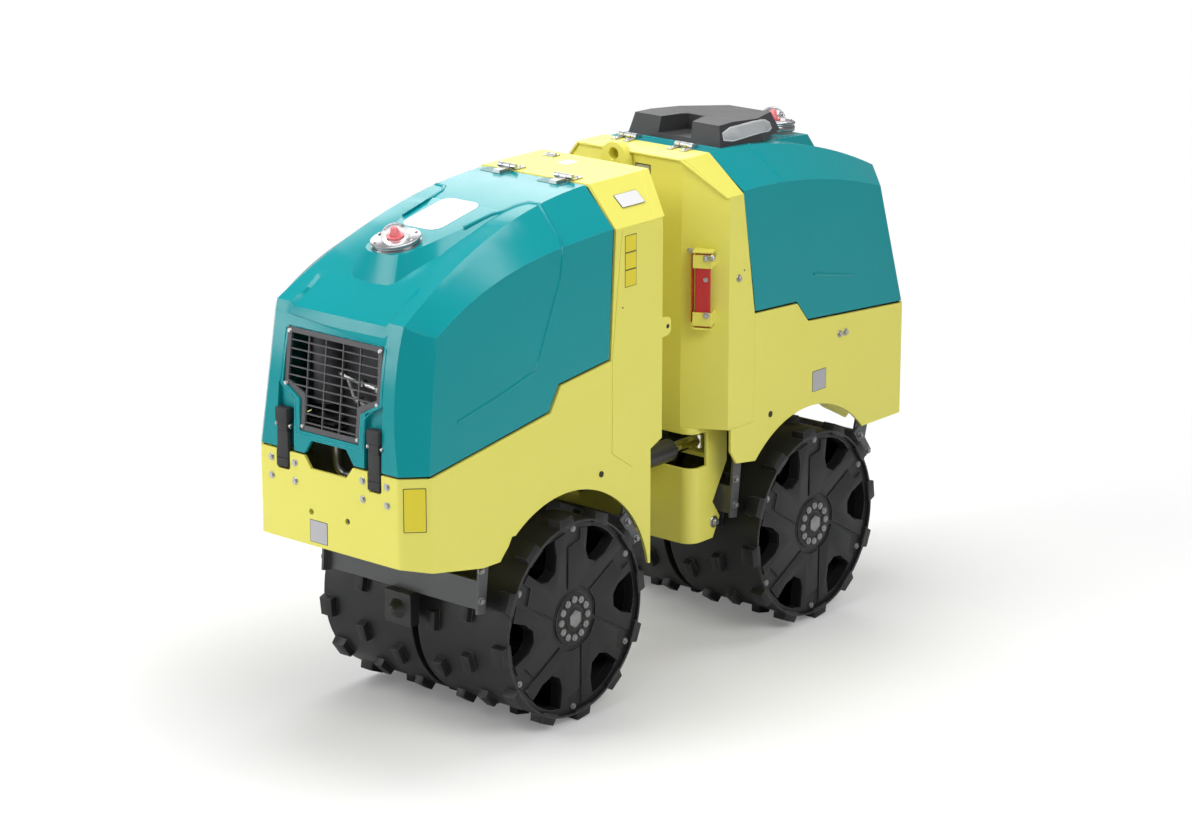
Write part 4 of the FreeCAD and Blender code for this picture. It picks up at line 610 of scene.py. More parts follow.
# ---- Grille -----------------------------------------------------------------
# A satin grey steel frame with punched corners carries a net of thin welded
# bars.  Six countersunk screws hold it in a shallow recess of the front hood.
GRILLE, GRILLE_DULL, GRILLE_WORN = (0.085, 0.085, 0.092), (0.065, 0.065, 0.07), (0.2, 0.2, 0.2)
grey = finish_of("grille_satin_grey", GRILLE, GRILLE_DULL, 0.45, 300, 0.0001, edge_wear_and_highlight=GRILLE_WORN)
dressed("front_grille", grey, "front_hood_lid", 0.0012, segments=1)
GRILLE_OUT = (0.995, 0, 0.105)
screws = bmesh.new()
for side in (-1, 1):
    for x, y, z in ((0.9985, 0.1520, 1.0665), (1.0145, 0.1540, 0.936), (1.0215, 0.0930, 0.838)):
        seat = stand((x, side * y, z), GRILLE_OUT)
        disc(screws, seat, radius=0.0065, low=-SUNK, high=0.0035, sides=20, top=0.0045)
piece("grille_screws", screws, zinc, "front_hood_lid")


# ---- Latches ----------------------------------------------------------------
# Each hood is held down by two black rubber draw latches.  The head is bolted
# to the hood's face, a steel cross pin carries the strap, and its foot sits in
# a slot of the end wall.
rubber = finish_of("latch_rubber", (0.028, 0.028, 0.030), (0.02, 0.02, 0.021), 0.62, 160, 0.0003)


def slab(bm, low, high, width):
    """Block between two corners with rounded edges."""
    low, high = Vector(low), Vector(high)
    matrix = Matrix.Translation((low + high) / 2) @ Matrix.Diagonal((*(high - low), 1))
    soften(bm, bmesh.ops.create_cube(bm, size=1, matrix=matrix)["verts"], width)


LATCH_ACROSS, LATCH_WAIST = 0.155, 0.70
PIN_RADIUS, PIN_HALF, PIN_DEPTH = 0.0048, 0.026, 0.012
WASHER_RADIUS, WASHER_THICK = 0.0065, 0.004
for end, direction in (("front", 1), ("rear", -1)):
    node, body = f"{end}_hood_latches", f"{end}_hood_lid"
    low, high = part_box(node)
    face = high.x if direction > 0 else low.x
    waist = low.z + (high.z - low.z) * LATCH_WAIST
    # head, neck, strap and foot: inner and outer depth, half width, lower and upper end, rounding
    parts = (
        (0.026, 0.0, 0.020, waist + 0.010, high.z, 0.003),
        (0.024, 0.003, 0.0165, waist - 0.016, waist + 0.012, 0.002),
        (0.020, 0.004, 0.0185, low.z + 0.004, waist - 0.014, 0.002),
        (0.024, 0.001, 0.020, low.z, low.z + 0.022, 0.003),
    )
    straps, pins = bmesh.new(), bmesh.new()
    for side in (-1, 1):
        middle = side * LATCH_ACROSS
        for inner, outer, half, bottom, top, rounding in parts:
            near, far = sorted((face - direction * inner, face - direction * outer))
            slab(straps, (near, middle - half, bottom), (far, middle + half, top), rounding)
        for start, radius, length, rounding in (
            (-PIN_HALF, PIN_RADIUS, 2 * PIN_HALF, 0.001),
            (-PIN_HALF, WASHER_RADIUS, WASHER_THICK, 0.0008),
            (PIN_HALF - WASHER_THICK, WASHER_RADIUS, WASHER_THICK, 0.0008),
        ):
            seat = stand((face - direction * PIN_DEPTH, middle + start, waist), (0, 1, 0))
            soften(pins, disc(pins, seat, radius, 0, length, 16), rounding, 1)
    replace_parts(piece(f"{node}_made", straps, rubber, body), node)
    piece(f"{node}_pins", pins, zinc, body)


# ---- Hinges -----------------------------------------------------------------
# Plated lift-off hinges stand across the joint between each hood and the cover.
# Every leaf is held by two screws.
HINGE_ACROSS, SCREW_ASIDE, SCREW_INSET = 0.096, 0.018, 0.014
for node, body in (
    ("front_hood_hinges", "front_hood_lid"),
    ("front_cover_hinges", "front_half"),
    ("rear_hood_hinges", "rear_hood_lid"),
    ("rear_bulkhead_hinges", "rear_half"),
):
    dressed(node, zinc, body, 0.0008, segments=1, turn=40)
    leaf = skin_of(node)
    low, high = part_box(node)
    forward = ("hood" in node) == body.startswith("front")
    line = high.x - SCREW_INSET if forward else low.x + SCREW_INSET
    screws = bmesh.new()
    for middle in (-HINGE_ACROSS, HINGE_ACROSS):
        for aside in (-SCREW_ASIDE, SCREW_ASIDE):
            place, normal, _, _ = leaf.ray_cast(Vector((line, middle + aside, 1.40)), DOWN)
            if place:
                head = disc(screws, stand(place, normal), 0.0062, -0.001, 0.0034, sides=20, top=0.0045)
                soften(screws, head, 0.0006, 1)
    if screws.verts:
        piece(f"{node}_screws", screws, zinc, body)


# ---- Remote receivers -------------------------------------------------------
# A round base of plated steel sits on each hood's raised middle.  A clear dome
# over a red core looks out in every direction for the remote control's signal.
PLATED, PLATED_DULL = (0.44, 0.44, 0.45), (0.36, 0.36, 0.375)
red_core = finish_of("receiver_core_red", (0.66, 0.085, 0.10), (0.58, 0.06, 0.075), 0.3, 200, 0.0001)
bright = finish_of("receiver_ring_plate", PLATED, PLATED_DULL, 0.26, 200, 0.00005, metallic=1.0)
clear = bpy.data.materials.new("receiver_clear_dome")
clear.use_nodes = True
glass = clear.node_tree
clear_shader = glass.nodes["Principled BSDF"]
clear_shader.inputs["Base Color"].default_value = (0.93, 0.93, 0.94, 1)
clear_shader.inputs["Transmission Weight"].default_value = 0.92
clear_shader.inputs["IOR"].default_value = 1.2
haze = added(glass, "TexNoise", {"Scale": 60}, {"Vector": added(glass, "TexCoord")["Object"]})["Fac"]
dull = added(glass, "MapRange", {"To Min": 0.03, "To Max": 0.10}, {"Value": haze})["Result"]
glass.links.new(dull, clear_shader.inputs["Roughness"])
# radius, lower and upper face of the ring's three plates
RING_PLATES = ((0.0635, -0.010, 0.004), (0.0605, 0.003, 0.010), (0.0635, 0.0095, 0.016))
DOME_LIFT, DOME_RADIUS, DOME_CUT = 0.016, 0.0365, 0.0165
for end, slope in (("front", 11.75), ("rear", -6.1)):
    body = f"{end}_hood_lid"
    low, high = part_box(f"{end}_receiver_dome")
    middle = (low + high) / 2
    lift = spine_height(middle.x) if end == "front" else middle.z - DOME_LIFT
    tilt = Matrix.Rotation(math.radians(slope), 4, "Y")
    seat = Matrix.Translation((middle.x, 0, lift)) @ tilt
    ring = bmesh.new()
    for radius, bottom, top in RING_PLATES:
        soften(ring, disc(ring, seat, radius, bottom, top, sides=56), 0.0022)
    for turn in range(30, 390, 60):
        arm = seat @ Matrix.Rotation(math.radians(turn), 4, "Z") @ Matrix.Translation((0.0545, 0, 0))
        soften(ring, disc(ring, arm, radius=0.0040, low=0.015, high=0.0185, sides=16), 0.0008, 1)
    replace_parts(piece(f"{end}_receiver_ring", ring, bright, body), f"{end}_receiver_base")
    dome = bmesh.new()
    centre = seat @ Matrix.Translation((0, 0, DOME_LIFT))
    bmesh.ops.create_uvsphere(dome, u_segments=40, v_segments=20, radius=DOME_RADIUS, matrix=centre)
    bmesh.ops.bisect_plane(
        dome, geom=dome.verts[:] + dome.edges[:] + dome.faces[:],
        plane_co=seat @ Vector((0, 0, DOME_CUT)), plane_no=tilt @ DOWN, clear_outer=True,
    )
    bmesh.ops.edgeloop_fill(dome, edges=[edge for edge in dome.edges if edge.is_boundary])
    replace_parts(piece(f"{end}_receiver_dome_made", dome, clear, body, 50), f"{end}_receiver_dome")
    core = bmesh.new()
    soften(core, disc(core, seat, radius=0.019, low=0.017, high=0.021, sides=28), 0.001, 1)
    soften(core, disc(core, seat, radius=0.0135, low=0.020, high=0.041, top=0.006), 0.003)
    piece(f"{end}_receiver_core", core, red_core, body)


# ---- Console ----------------------------------------------------------------
# The console on the rear hood is a thick black plastic moulding with a grained
# skin.  Its front is hollowed for the lifting hand, and a pale lens in a light
# rim is let into each flank.
grained = finish_of("grained_black_plastic", (0.036, 0.036, 0.038), (0.030, 0.030, 0.032), 0.5, 900, 0.0003)
dressed("console", grained, "rear_hood_lid", 0.007, segments=3, turn=18)
pale = finish_of("lens_pale_grey", (0.46, 0.47, 0.48), (0.40, 0.41, 0.42), 0.18, 700, 0.0003)
rim_grey = finish_of("lens_rim_light_grey", (0.66, 0.67, 0.68), (0.60, 0.61, 0.62), 0.3, 300, 0.0001)
LENS_LINE = [
    (-0.334, 0.180, 1.3820), (-0.410, 0.180, 1.3845), (-0.480, 0.170, 1.3835), (-0.545, 0.150, 1.3775),
    (-0.604, 0.130, 1.3700),
]
console_skin = skin_of("console")
for name, material, wide, proud, step in (
    ("rim", rim_grey, 0.042, 0.0016, 0.004), ("lens", pale, 0.036, 0.0030, 0),
):
    strips = bmesh.new()
    for side in (-1, 1):
        line = handed(LENS_LINE, side)
        line[0] = (line[0][0] + step, *line[0][1:])
        line[-1] = (line[-1][0] - step, *line[-1][1:])
        ribbon(strips, console_skin, line, wide, proud, tip=0.86, rounded=True)
    piece(f"console_{name}_strips", strips, material, "rear_hood_lid", 50)


# ---- Sensor -----------------------------------------------------------------
# A black plastic block with a round eye hangs under the bumper, and stops the
# machine before it runs into its operator.
sensor_black = finish_of(
    "sensor_black_plastic", (0.010, 0.010, 0.011), (0.014, 0.014, 0.015), 0.4, 500, 0.0002
)
dressed("front_sensor_block", sensor_black, "front_half", 0.003)
eye = bmesh.new()
eye_seat = stand((0.8182, 0, 0.326), (1, 0, 0))
soften(eye, disc(eye, eye_seat, radius=0.0215, low=-0.030, high=-0.0010, sides=28, top=0.0095), 0.0010, 1)
piece("front_sensor_eye", eye, grained, "front_half")


# ---- Steering lock ----------------------------------------------------------
# A red bar hangs in two lime brackets on the bulkhead's slanted wall.  It is
# pinned across the joint to lock the steering for transport.
RED, RED_DEEP, RED_WORN = (0.56, 0.022, 0.028), (0.48, 0.015, 0.02), (0.3, 0.2, 0.2)
red_paint = finish_of("red_paint", RED, RED_DEEP, 0.35, 300, 0.0001, edge_wear_and_highlight=RED_WORN)
dressed("lock_bar", red_paint, "rear_half", 0.0015)
WALL_OUT, WALL_ALONG = Vector((0.8866, 0.4625, 0)), Vector((-0.4625, 0.8866, 0))
fixings = bmesh.new()
for place, radius, washer in (
    ((-0.1236, 0.2598, 1.100), 0.0068, 1.3),
    ((-0.1243, 0.2610, 0.946), 0.0068, 1.3),
    ((-0.1279, 0.2549, 1.0406), 0.0050, 1.3),
    ((-0.1360, 0.1975, 1.109), 0.0070, 1.2),
):
    bolt(fixings, place, WALL_OUT, radius, washer)
grip = Vector((-0.1320, 0.2760, 1.104))
stem = disc(fixings, stand(grip, WALL_OUT), radius=0.0042, low=-0.030, high=0.006, sides=16)
soften(fixings, stem, 0.0008, 1)
knob = Matrix.Translation(grip + WALL_OUT * 0.008)
bmesh.ops.create_uvsphere(fixings, u_segments=20, v_segments=12, radius=0.0088, matrix=knob)
piece("lock_bar_fixings", fixings, zinc, "rear_half")


def wall_plate(bm, base, rise, along, out):
    """Level plate on the slanted wall, between two ends along it and two distances from it."""
    foot = Vector((-0.1545, 0.2325, base))
    ends = ((along[0], out[0]), (along[1], out[0]), (along[1], out[1]), (along[0], out[1]))
    plate(bm, [foot + WALL_ALONG * aside + WALL_OUT * away for aside, away in ends], (0, 0, rise))


caps = bmesh.new()
for base in (1.1130, 0.9060):
    wall_plate(caps, base, rise=0.005, along=(-0.027, 0.027), out=(0, 0.041))
piece("lock_bracket_caps", caps, lime, "rear_half")
flank = bmesh.new()
wall_plate(flank, 0.925, rise=0.184, along=(-0.0305, -0.0275), out=(0.006, 0.038))
piece("lock_bar_flank", flank, red_paint, "rear_half")


# ---- Drums ------------------------------------------------------------------
# Each drum is a rolled steel shell with three staggered rows of welded pads, a
# cast disc of overlapping blades with six windows, and a bolted bearing hub.
CHARCOAL = (0.014, 0.0145, 0.0155)
CHARCOAL_DEEP = (0.010, 0.0105, 0.0115)
# A lighter grey along the drums' edges is partly wear and partly a painted highlight on the blade edges.
CHARCOAL_WEAR_AND_HIGHLIGHT = (0.13, 0.13, 0.135)
iron = finish_of(
    "charcoal_cast_iron", CHARCOAL, CHARCOAL_DEEP, rough=0.46, grain=220, depth=0.0004,
    edge_wear_and_highlight=CHARCOAL_WEAR_AND_HIGHLIGHT, edge=0.0026, level=0.38, patch_from=0.30,
)
bolt_zinc = finish_of(
    "drum_bolt_zinc", (0.34, 0.34, 0.34), (0.22, 0.22, 0.22), 0.38, 260, 0.0001, metallic=0.8
)


def polar(radius, angle):
    """Point of the drum's face, x to the tail and y up, with its angle anticlockwise."""
    turn = math.radians(angle)
    return (radius * math.cos(turn), radius * math.sin(turn))


def arc(radius, start, end, step=5):
    """Points along an arc, both ends included."""
    count = max(1, round(abs(end - start) / step))
    return [polar(radius, start + (end - start) * index / count) for index in range(count + 1)]


def spoke_point(angle, along, aside):
    """Point along a spoke's middle line and to its anticlockwise side."""
    x, y = polar(1, angle)
    return (x * along - y * aside, y * along + x * aside)


def thick_plate(loops, low, thick):
    """New flat plate from a height up, filled inside the first loop and outside the others."""
    made = bmesh.new()
    edges = []
    for loop in loops:
        verts = [made.verts.new((x, y, low)) for x, y in loop]
        edges += [made.edges.new(pair) for pair in zip(verts, verts[1:] + verts[:1])]
    bmesh.ops.triangle_fill(made, edges=edges, use_beauty=True)
    bmesh.ops.dissolve_limit(made, angle_limit=0.01, verts=made.verts, edges=made.edges)
    grown = bmesh.ops.extrude_face_region(made, geom=made.faces[:])["geom"]
    upper = [item for item in grown if isinstance(item, bmesh.types.BMVert)]
    bmesh.ops.translate(made, vec=(0, 0, thick), verts=upper)
    bmesh.ops.recalc_face_normals(made, faces=made.faces)
    return made


def joined(bm, part):
    """Puts a part's mesh into another, and frees it."""
    scratch = bpy.data.meshes.new("scratch")
    part.to_mesh(scratch)
    part.free()
    bm.from_mesh(scratch)
    bpy.data.meshes.remove(scratch)


# The shell's radii and its ends, measured from the machine's middle outwards.
SHELL, INSIDE, RIM_INSIDE, RIM_EDGE = 0.260, 0.245, 0.254, 0.256
INNER, OUTER, FACE = 0.011, 0.320, 0.308
BREAK, RIM_DEEP = 0.002, 0.012
WEB_BORE, WEB_INSET, WEB_THICK = 0.112, 0.003, 0.006
PAD_TOP, PAD_DEEP, PAD_LONG, PAD_TAPER = 0.2785, 0.030, 0.058, 0.84
PADS = 12
# middle, width, lead angle and taper of each row of pads
ROWS = ((0.2975, 0.045, 97, 0.88), (0.18095, 0.030, 107, 0.84), (0.0728, 0.030, 87, 0.84))


def drum_shell(bm):
    """Rolled shell with its pads, along +Z from the machine's middle outwards."""
    profile = [
        (INSIDE, INNER), (SHELL - BREAK, INNER), (SHELL, INNER + BREAK), (SHELL, OUTER - BREAK),
        (SHELL - BREAK, OUTER), (RIM_EDGE, OUTER), (RIM_INSIDE, OUTER - BREAK),
        (RIM_INSIDE, FACE - RIM_DEEP), (INSIDE, FACE - RIM_DEEP),
    ]
    verts = [bm.verts.new((radius, 0, height)) for radius, height in profile]
    edges = [bm.edges.new(pair) for pair in zip(verts, verts[1:] + verts[:1])]
    bmesh.ops.spin(
        bm, geom=verts + edges, cent=(0, 0, 0), axis=(0, 0, 1), angle=math.tau, steps=72, use_merge=True
    )
    web = [arc(INSIDE + 0.001, 0, 360, 10)[:-1], arc(WEB_BORE, 0, 360, 15)[:-1]]
    joined(bm, thick_plate(web, INNER + WEB_INSET, WEB_THICK))
    for middle, wide, lead, taper in ROWS:
        for index in range(PADS):
            tooth = bmesh.new()
            block = Matrix.Diagonal((PAD_DEEP, PAD_LONG, wide, 1))
            pad = bmesh.ops.create_cube(tooth, size=1, matrix=block)["verts"]
            for vert in pad:
                if vert.co.x > 0:
                    vert.co.y *= PAD_TAPER
                    vert.co.z *= taper
            soften(tooth, pad, 0.0014)
            turn = Matrix.Rotation(math.radians(lead + 360 / PADS * index), 4, "Z")
            seat = turn @ Matrix.Translation((PAD_TOP - PAD_DEEP / 2, 0, middle))
            bmesh.ops.transform(tooth, matrix=seat, verts=tooth.verts)
            joined(bm, tooth)


# radius and angle from the window's middle: its rounded outer side, and the way
# that a blade's edge takes round it
WINDOW = [
    (0.157, -3), (0.157, 9), (0.180, 15), (0.238, 17), (0.242, 10), (0.243, 2), (0.242, -6), (0.238, -12),
    (0.190, -10),
]
NOTCH = [(0.2375, -12), (0.190, -10), (0.157, -3), (0.157, 9), (0.180, 15), (0.2375, 17)]
DISC_RADIUS, DISC_BORE, DISC_THICK = 0.2538, 0.060, 0.030
BLADE_RISE, BLADE_RIM, BLADE_ROUND = 0.0062, 0.2375, 0.0028
BLADE_START = math.degrees(math.atan2(0.030, 0.2356))
BLADE_END = math.degrees(math.atan2(0.027, 0.236))
SPAN = 60


def drum_disc(bm):
    """Flat cast disc with six windows, lying in XY with its face at height zero."""
    loops = [arc(DISC_RADIUS, 0, 360, 5)[:-1], arc(DISC_BORE, 0, 360, 10)[:-1]]
    loops += [[polar(radius, angle + turn) for radius, angle in WINDOW] for turn in range(0, 360, SPAN)]
    joined(bm, thick_plate(loops, -DISC_THICK, DISC_THICK))


def drum_blade(bm, first):
    """One raised blade from a spoke to the next, round its window and the rim bolts."""
    middle, second = first + SPAN / 2, first + SPAN
    loop = [spoke_point(first, 0.079, 0.030), spoke_point(first, 0.150, 0.030)]
    loop += arc(BLADE_RIM, first + BLADE_START, middle + NOTCH[0][1])[:-1]
    loop += [polar(radius, middle + angle) for radius, angle in NOTCH]
    loop += arc(BLADE_RIM, middle + NOTCH[-1][1], second - BLADE_END)[1:]
    heel = ((0.206, -0.025), (0.194, 0.020), (0.083, 0.022))
    loop += [spoke_point(second, along, aside) for along, aside in heel]
    loop += [polar(0.086, second - 8), polar(0.086, middle + 12)]
    blade = thick_plate([loop], 0, BLADE_RISE)
    edges = [
        edge for edge in blade.edges
        if edge.calc_face_angle(0) > 1 and all(vert.co.z > BLADE_RISE / 2 for vert in edge.verts)
    ]
    bmesh.ops.bevel(
        blade, geom=edges, offset=BLADE_ROUND, segments=2, profile=0.5, affect="EDGES",
        material=-1, clamp_overlap=True,
    )
    joined(bm, blade)


# turned steps and bolts: radius, lower and upper face, sides, upper radius, rounding and its segments
HUB_STEPS = ((0.070, -DISC_THICK, 0.0050, 48, None, 0.0015, 2), (0.0330, 0, 0.0072, 40, None, 0.0020, 2))
HUB_NUT = (0.0240, 0.0060, OUTER - FACE - 0.0005, 6, None, 0.0016, 2)
HUB_BOLT = ((0.0108, 0.0045, 0.0097, 24, 0.0094, 0.0014, 2), (0.0056, 0.0093, 0.0115, 6, None, 0.0005, 1))
RIM_BOLT = ((0.0102, -0.001, 0.0044, 20, 0.0084, 0.0008, 1), (0.0052, 0.0040, 0.0062, 6, None, 0.0005, 1))
HUB_CIRCLE, RIM_CIRCLE = 0.0510, 0.2395


def turned(bm, steps, x=0, y=0):
    """Steps of a turned part on the drum's face."""
    for radius, low, high, sides, top, rounding, segments in steps:
        seat = Matrix.Translation((x, y, FACE))
        soften(bm, disc(bm, seat, radius, low, high, sides, top), rounding, segments)


for end in ("front", "rear"):
    low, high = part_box(f"{end}_left_drum_disc")
    axle = (low + high) / 2
    # local x to the tail, local y up, local z outwards from the left side
    outward = Matrix(((-1, 0, 0, axle.x), (0, 0, 1, 0), (0, 1, 0, axle.z), (0, 0, 0, 1)))
    for hand, side in (("left", 1), ("right", -1)):
        body = f"{end}_{hand}_drum"
        place = Matrix.Diagonal((1, side, 1, 1)) @ outward
        shell, cast, heads = bmesh.new(), bmesh.new(), bmesh.new()
        drum_shell(shell)
        drum_disc(cast)
        for turn in range(0, 360, SPAN):
            drum_blade(cast, turn + SPAN / 2)
        bmesh.ops.translate(cast, vec=(0, 0, FACE), verts=cast.verts)
        turned(cast, HUB_STEPS)
        for angle in range(0, 360, 30):
            turned(heads, HUB_BOLT, *polar(HUB_CIRCLE, angle))
        turned(heads, [HUB_NUT])
        for angle in range(30, 390, SPAN):
            turned(heads, RIM_BOLT, *polar(RIM_CIRCLE, angle))
        for name, made, material, slot, node in (
            ("shell_made", shell, iron, "charcoal", "shell"),
            ("disc_made", cast, iron, "charcoal", "disc"),
            ("hub_bolts", heads, bolt_zinc, "zinc", "hub"),
        ):
            bmesh.ops.transform(made, matrix=place, verts=made.verts)
            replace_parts(piece(f"{body}_{name}", made, material, body), f"{body}_{node}")


# ---- Scrapers and carriers --------------------------------------------------
# Plain steel scraper plates hang close to the drums from bolted arms.  Between
# each pair of drums a welded plate carries the exciter and the fixed axle.
# Lighter grey along the scrapers' edges is partly wear and partly a painted highlight.
STEEL, STEEL_DULL, STEEL_WEAR_AND_HIGHLIGHT = (0.115, 0.119, 0.123), (0.085, 0.088, 0.091), (0.3, 0.3, 0.3)
steel = finish_of("bare_steel_grey", STEEL, STEEL_DULL, 0.40, 240, 0.0002, metallic=0.5, edge_wear_and_highlight=STEEL_WEAR_AND_HIGHLIGHT)
for end in ("front", "rear"):
    for place in ("fore", "aft"):
        dressed(f"{end}_scraper_{place}", steel, f"{end}_half", 0.0012, segments=1)
    dressed(f"{end}_axle_carrier", iron, f"{end}_half", 0.002)
SCRAPER_BOLTS = {
    "front": ((0.776, 0.270, 0.478), (0.776, 0.270, 0.398), (0.242, 0.298, 0.477), (0.207, 0.298, 0.424)),
    "rear": (
        (-0.245, 0.270, 0.470), (-0.245, 0.270, 0.398), (-0.7725, 0.298, 0.477), (-0.8075, 0.298, 0.424),
    ),
}
for end, points in SCRAPER_BOLTS.items():
    scraper_bolts = bmesh.new()
    for side in (-1, 1):
        for x, y, z in points:
            bolt(scraper_bolts, (x, side * y, z), (0, side, 0), radius=0.0075, washer=1.4)
    piece(f"{end}_scraper_bolts", scraper_bolts, bolt_zinc, f"{end}_half")

# Plates with a boss hang behind each pair of drums.
HANGER_THICK, BOSS_RADIUS, BOSS_LONG = 0.008, 0.028, 0.012
FRONT_HANGER = [
    (0.100, 0.620), (0.100, 0.490), (0.135, 0.470), (0.200, 0.500), (0.250, 0.560), (0.250, 0.620),
]
REAR_HANGER = [
    (-0.775, 0.640), (-0.775, 0.560), (-0.865, 0.500), (-0.965, 0.448), (-1.000, 0.470), (-1.000, 0.640),
]
for end, across, outline, (boss_x, boss_z) in (
    ("front", 0.046, FRONT_HANGER, (0.163, 0.518)), ("rear", 0.100, REAR_HANGER, (-0.905, 0.530)),
):
    hangers = bmesh.new()
    for side in (-1, 1):
        plate(hangers, [(x, side * across, z) for x, z in outline], (0, side * HANGER_THICK, 0))
        seat = stand((boss_x, side * (across + 0.006), boss_z), (0, side, 0))
        soften(hangers, disc(hangers, seat, BOSS_RADIUS, 0, BOSS_LONG, 28), 0.003)
    piece(f"{end}_tail_hangers", hangers, lime, f"{end}_half")


# ---- Steering cylinder ------------------------------------------------------
# A double-acting cylinder turns the halves about the pivot.  Its barrel is
# painted black and its rod is ground and chromed.
CHROME, CHROME_DULL = (0.75, 0.75, 0.76), (0.68, 0.68, 0.70)
cylinder_black = finish_of(
    "cylinder_black_paint", (0.030, 0.030, 0.033), (0.022, 0.022, 0.025), 0.34, 260, 0.0001
)
chrome = finish_of("rod_hard_chrome", CHROME, CHROME_DULL, 0.12, 300, 0.00003, metallic=1.0, rough_step=0.05)
dressed("steering_barrel", cylinder_black, "steering_cylinder_barrel", 0.0015)
dressed("steering_rod", chrome, "steering_cylinder_rod", 0.001)


# ---- Engine and tanks -------------------------------------------------------
# Closed in under the hoods: plain blocks stand for the engine and the tanks.
# Behind the grille stand a canister, a finned casing and a few plated unions.
engine = finish_of("engine_block_grey", (0.085, 0.085, 0.09), (0.05, 0.05, 0.055), 0.6, 60, 0.001)
dressed("engine_block", engine, "front_half", 0.004)
dressed("tank_block", engine, "rear_half", 0.004)
FIN_OUTLINE = ((0.912, -0.135), (0.958, -0.135), (0.958, -0.050), (0.912, -0.050))
FIN_LOW, FIN_STEP, FIN_THICK = 0.792, 0.013, 0.006
can = bmesh.new()
soften(can, disc(can, Matrix.Translation((0.925, -0.094, 0)), 0.038, 0.880, 1.085, 40), 0.008, 3)
for fin in range(5):
    plate(can, [(x, y, FIN_LOW + fin * FIN_STEP) for x, y in FIN_OUTLINE], (0, 0, FIN_THICK))
piece("engine_bay_canister", can, engine, "front_half")
BEND, BEND_START = 0.030, Vector((0.935, -0.062, 0.735))
turns = (0, 0.4, 0.8, 1.2, 1.57)
elbow = [BEND_START + BEND * Vector((0, 1 - math.cos(turn), -math.sin(turn))) for turn in turns]
unions = bmesh.new()
swept(unions, [(0.925, -0.060, 0.960), (0.932, 0.000, 0.952), (0.930, 0.100, 0.940)], 0.0065, 12)
swept(unions, [(0.930, -0.020, 0.950), (0.935, 0.005, 0.905), (0.925, 0.040, 0.890)], 0.0065, 12)
for y, z in ((0.020, 0.950), (0.075, 0.943), (0.005, 0.905)):
    soften(unions, disc(unions, stand((0.931, y, z), (0, 1, 0)), 0.012, 0, 0.016, 6), 0.001, 1)
swept(unions, [(0.935, -0.062, 0.790)] + elbow + [(0.935, 0.020, 0.705)], 0.011, 16)
piece("engine_bay_unions", unions, zinc, "front_half")


# ---- Plates and labels ------------------------------------------------------
# Thin printed plates are stuck to the coat.  All of them are left blank, with at
# most a dark border.  Two darker teal plates on the front hood are no print but
# painted shade, where the hood has shallow pockets at its hinges.
white_vinyl = finish_of("white_vinyl", (0.80, 0.80, 0.81), (0.74, 0.74, 0.75), 0.35, 200, 0.00002)
yellow_vinyl = finish_of("yellow_vinyl", (0.78, 0.66, 0.03), (0.72, 0.60, 0.02), 0.35, 200, 0.00002)
dark_vinyl = finish_of("dark_vinyl", (0.03, 0.03, 0.03), (0.04, 0.04, 0.04), 0.4, 200, 0.00002)
silver_plate = finish_of(
    "silver_plate", (0.50, 0.50, 0.52), (0.44, 0.44, 0.46), 0.35, 200, 0.00003, metallic=0.6
)
# Darker teal painted shade for the shallow pockets at the front hood's hinges.
pocket_shade_teal = finish_of("teal_pocket_shade", (0.002, 0.150, 0.170), (0.002, 0.130, 0.150), 0.35, 300, 0.0001)
LABEL_THICK = 0.0008
ACROSS, UP, BACK = (0, 1, 0), (0, 0, 1), (-1, 0, 0)


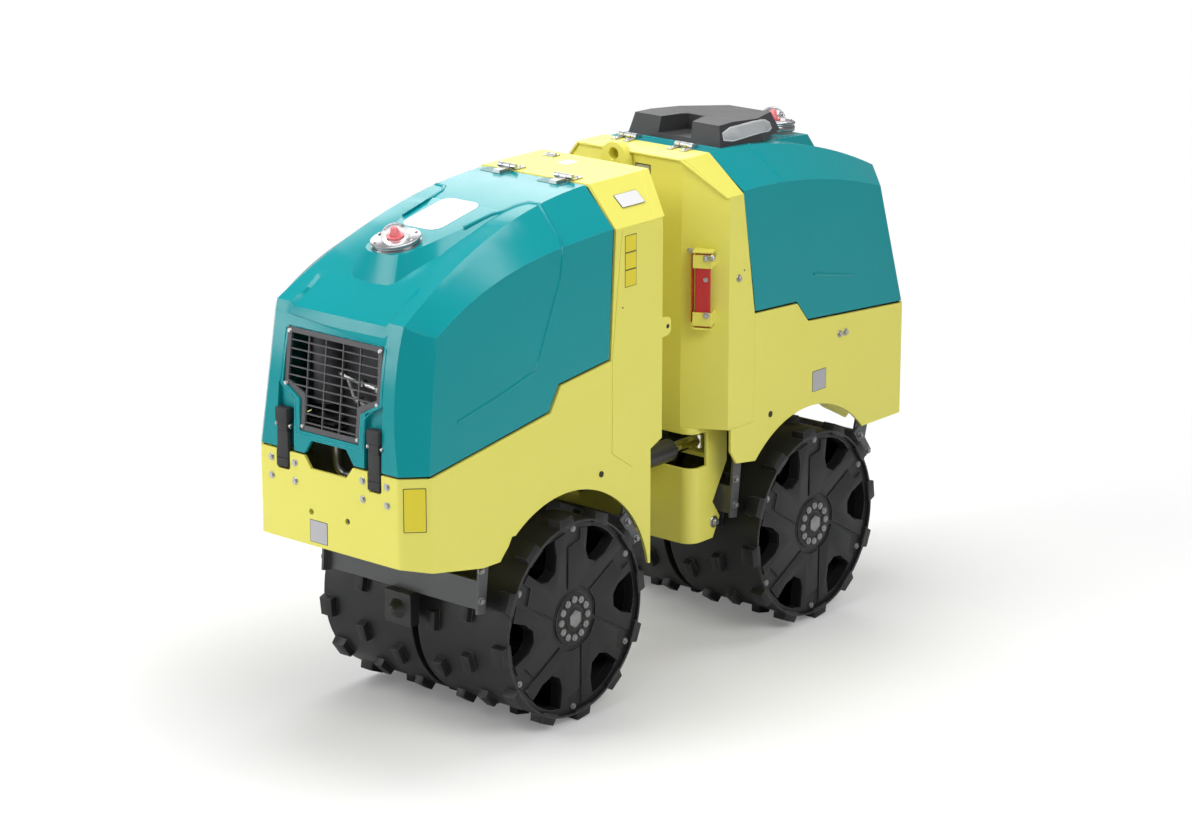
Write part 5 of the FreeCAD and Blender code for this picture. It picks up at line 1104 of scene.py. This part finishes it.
def label(
    name, body, material, centre, across, upward, size,
    border=0, corner=0.002, thick=LABEL_THICK,
):
    """Thin blank plate with rounded corners, on a darker one where it has a border."""
    width, height = size
    across, upward = Vector(across).normalized(), Vector(upward).normalized()
    outward = across.cross(upward)
    upward = outward.cross(across)
    if border:
        label(
            f"{name}_border", body, dark_vinyl, centre, across, upward, size,
            corner=corner, thick=thick * 0.6,
        )
        width, height = width - 2 * border, height - 2 * border
    bm = bmesh.new()
    bmesh.ops.create_cube(bm, size=1, matrix=Matrix.Diagonal((width, height, 2 * thick, 1)))
    upright = [edge for edge in bm.edges if abs(edge.verts[0].co.z - edge.verts[1].co.z) > thick]
    bmesh.ops.bevel(bm, geom=upright, offset=corner, segments=3, profile=0.5, affect="EDGES", material=-1)
    turn = Matrix((across, upward, outward)).transposed().to_4x4()
    bmesh.ops.transform(bm, matrix=Matrix.Translation(centre) @ turn, verts=bm.verts)
    piece(name, bm, material, body)


SPINE_LABEL_X = 0.592
for index, z in enumerate((1.2115, 1.1665, 1.1215)):
    centre, size = (0.2245, SIDE + LAP, z), (0.0455, 0.0445)
    label(f"cover_label_{index}", "front_half", yellow_vinyl, centre, BACK, UP, size, 0.0016)
shoulder, slope = (0.1615, 0.2350, 1.3067), (0, -0.110, 0.0966)
label("cover_shoulder_label", "front_half", white_vinyl, shoulder, BACK, slope, (0.090, 0.042), 0.001)
bumper, flank = (NOSE, -0.037, 0.577), (-0.587, SIDE, 0.676)
label("bumper_plate", "front_half", silver_plate, bumper, ACROSS, UP, (0.060, 0.058), 0.0015)
label("rear_side_plate", "rear_half", silver_plate, flank, BACK, UP, (0.062, 0.058), 0.0015)
corner, wall = (1.0012, 0.2612, 0.688), (-0.1245, 0.045, 1.307)
label("corner_label", "front_half", yellow_vinyl, corner, (-1, 1, 0), UP, (0.056, 0.112), 0.0018)
label("wall_sign", "rear_half", silver_plate, wall, ACROSS, UP, (0.052, 0.031), 0.003)
label("top_label", "front_half", white_vinyl, (0.096, -0.027, 1.3527), ACROSS, BACK, (0.036, 0.046))
seat, slope = (SPINE_LABEL_X, -0.018, spine_height(SPINE_LABEL_X)), (-1, 0, SPINE_FALL)
label("spine_label", "front_hood_lid", white_vinyl, seat, ACROSS, slope, (0.124, 0.180), corner=0.028)
# Two darker teal plates on the front hood are painted shade: they stand for the shadowed pockets at its
# hinges.
for name, middle in (("right", -0.112), ("left", 0.0825)):
    place, normal, _, _ = front_skin.ray_cast(Vector((0.277, middle, 1.5)), DOWN)
    label(
        f"hinge_seat_{name}", "front_hood_lid", pocket_shade_teal, place, ACROSS, (-normal.z, 0, normal.x),
        (0.090, 0.042), corner=0.008,
    )
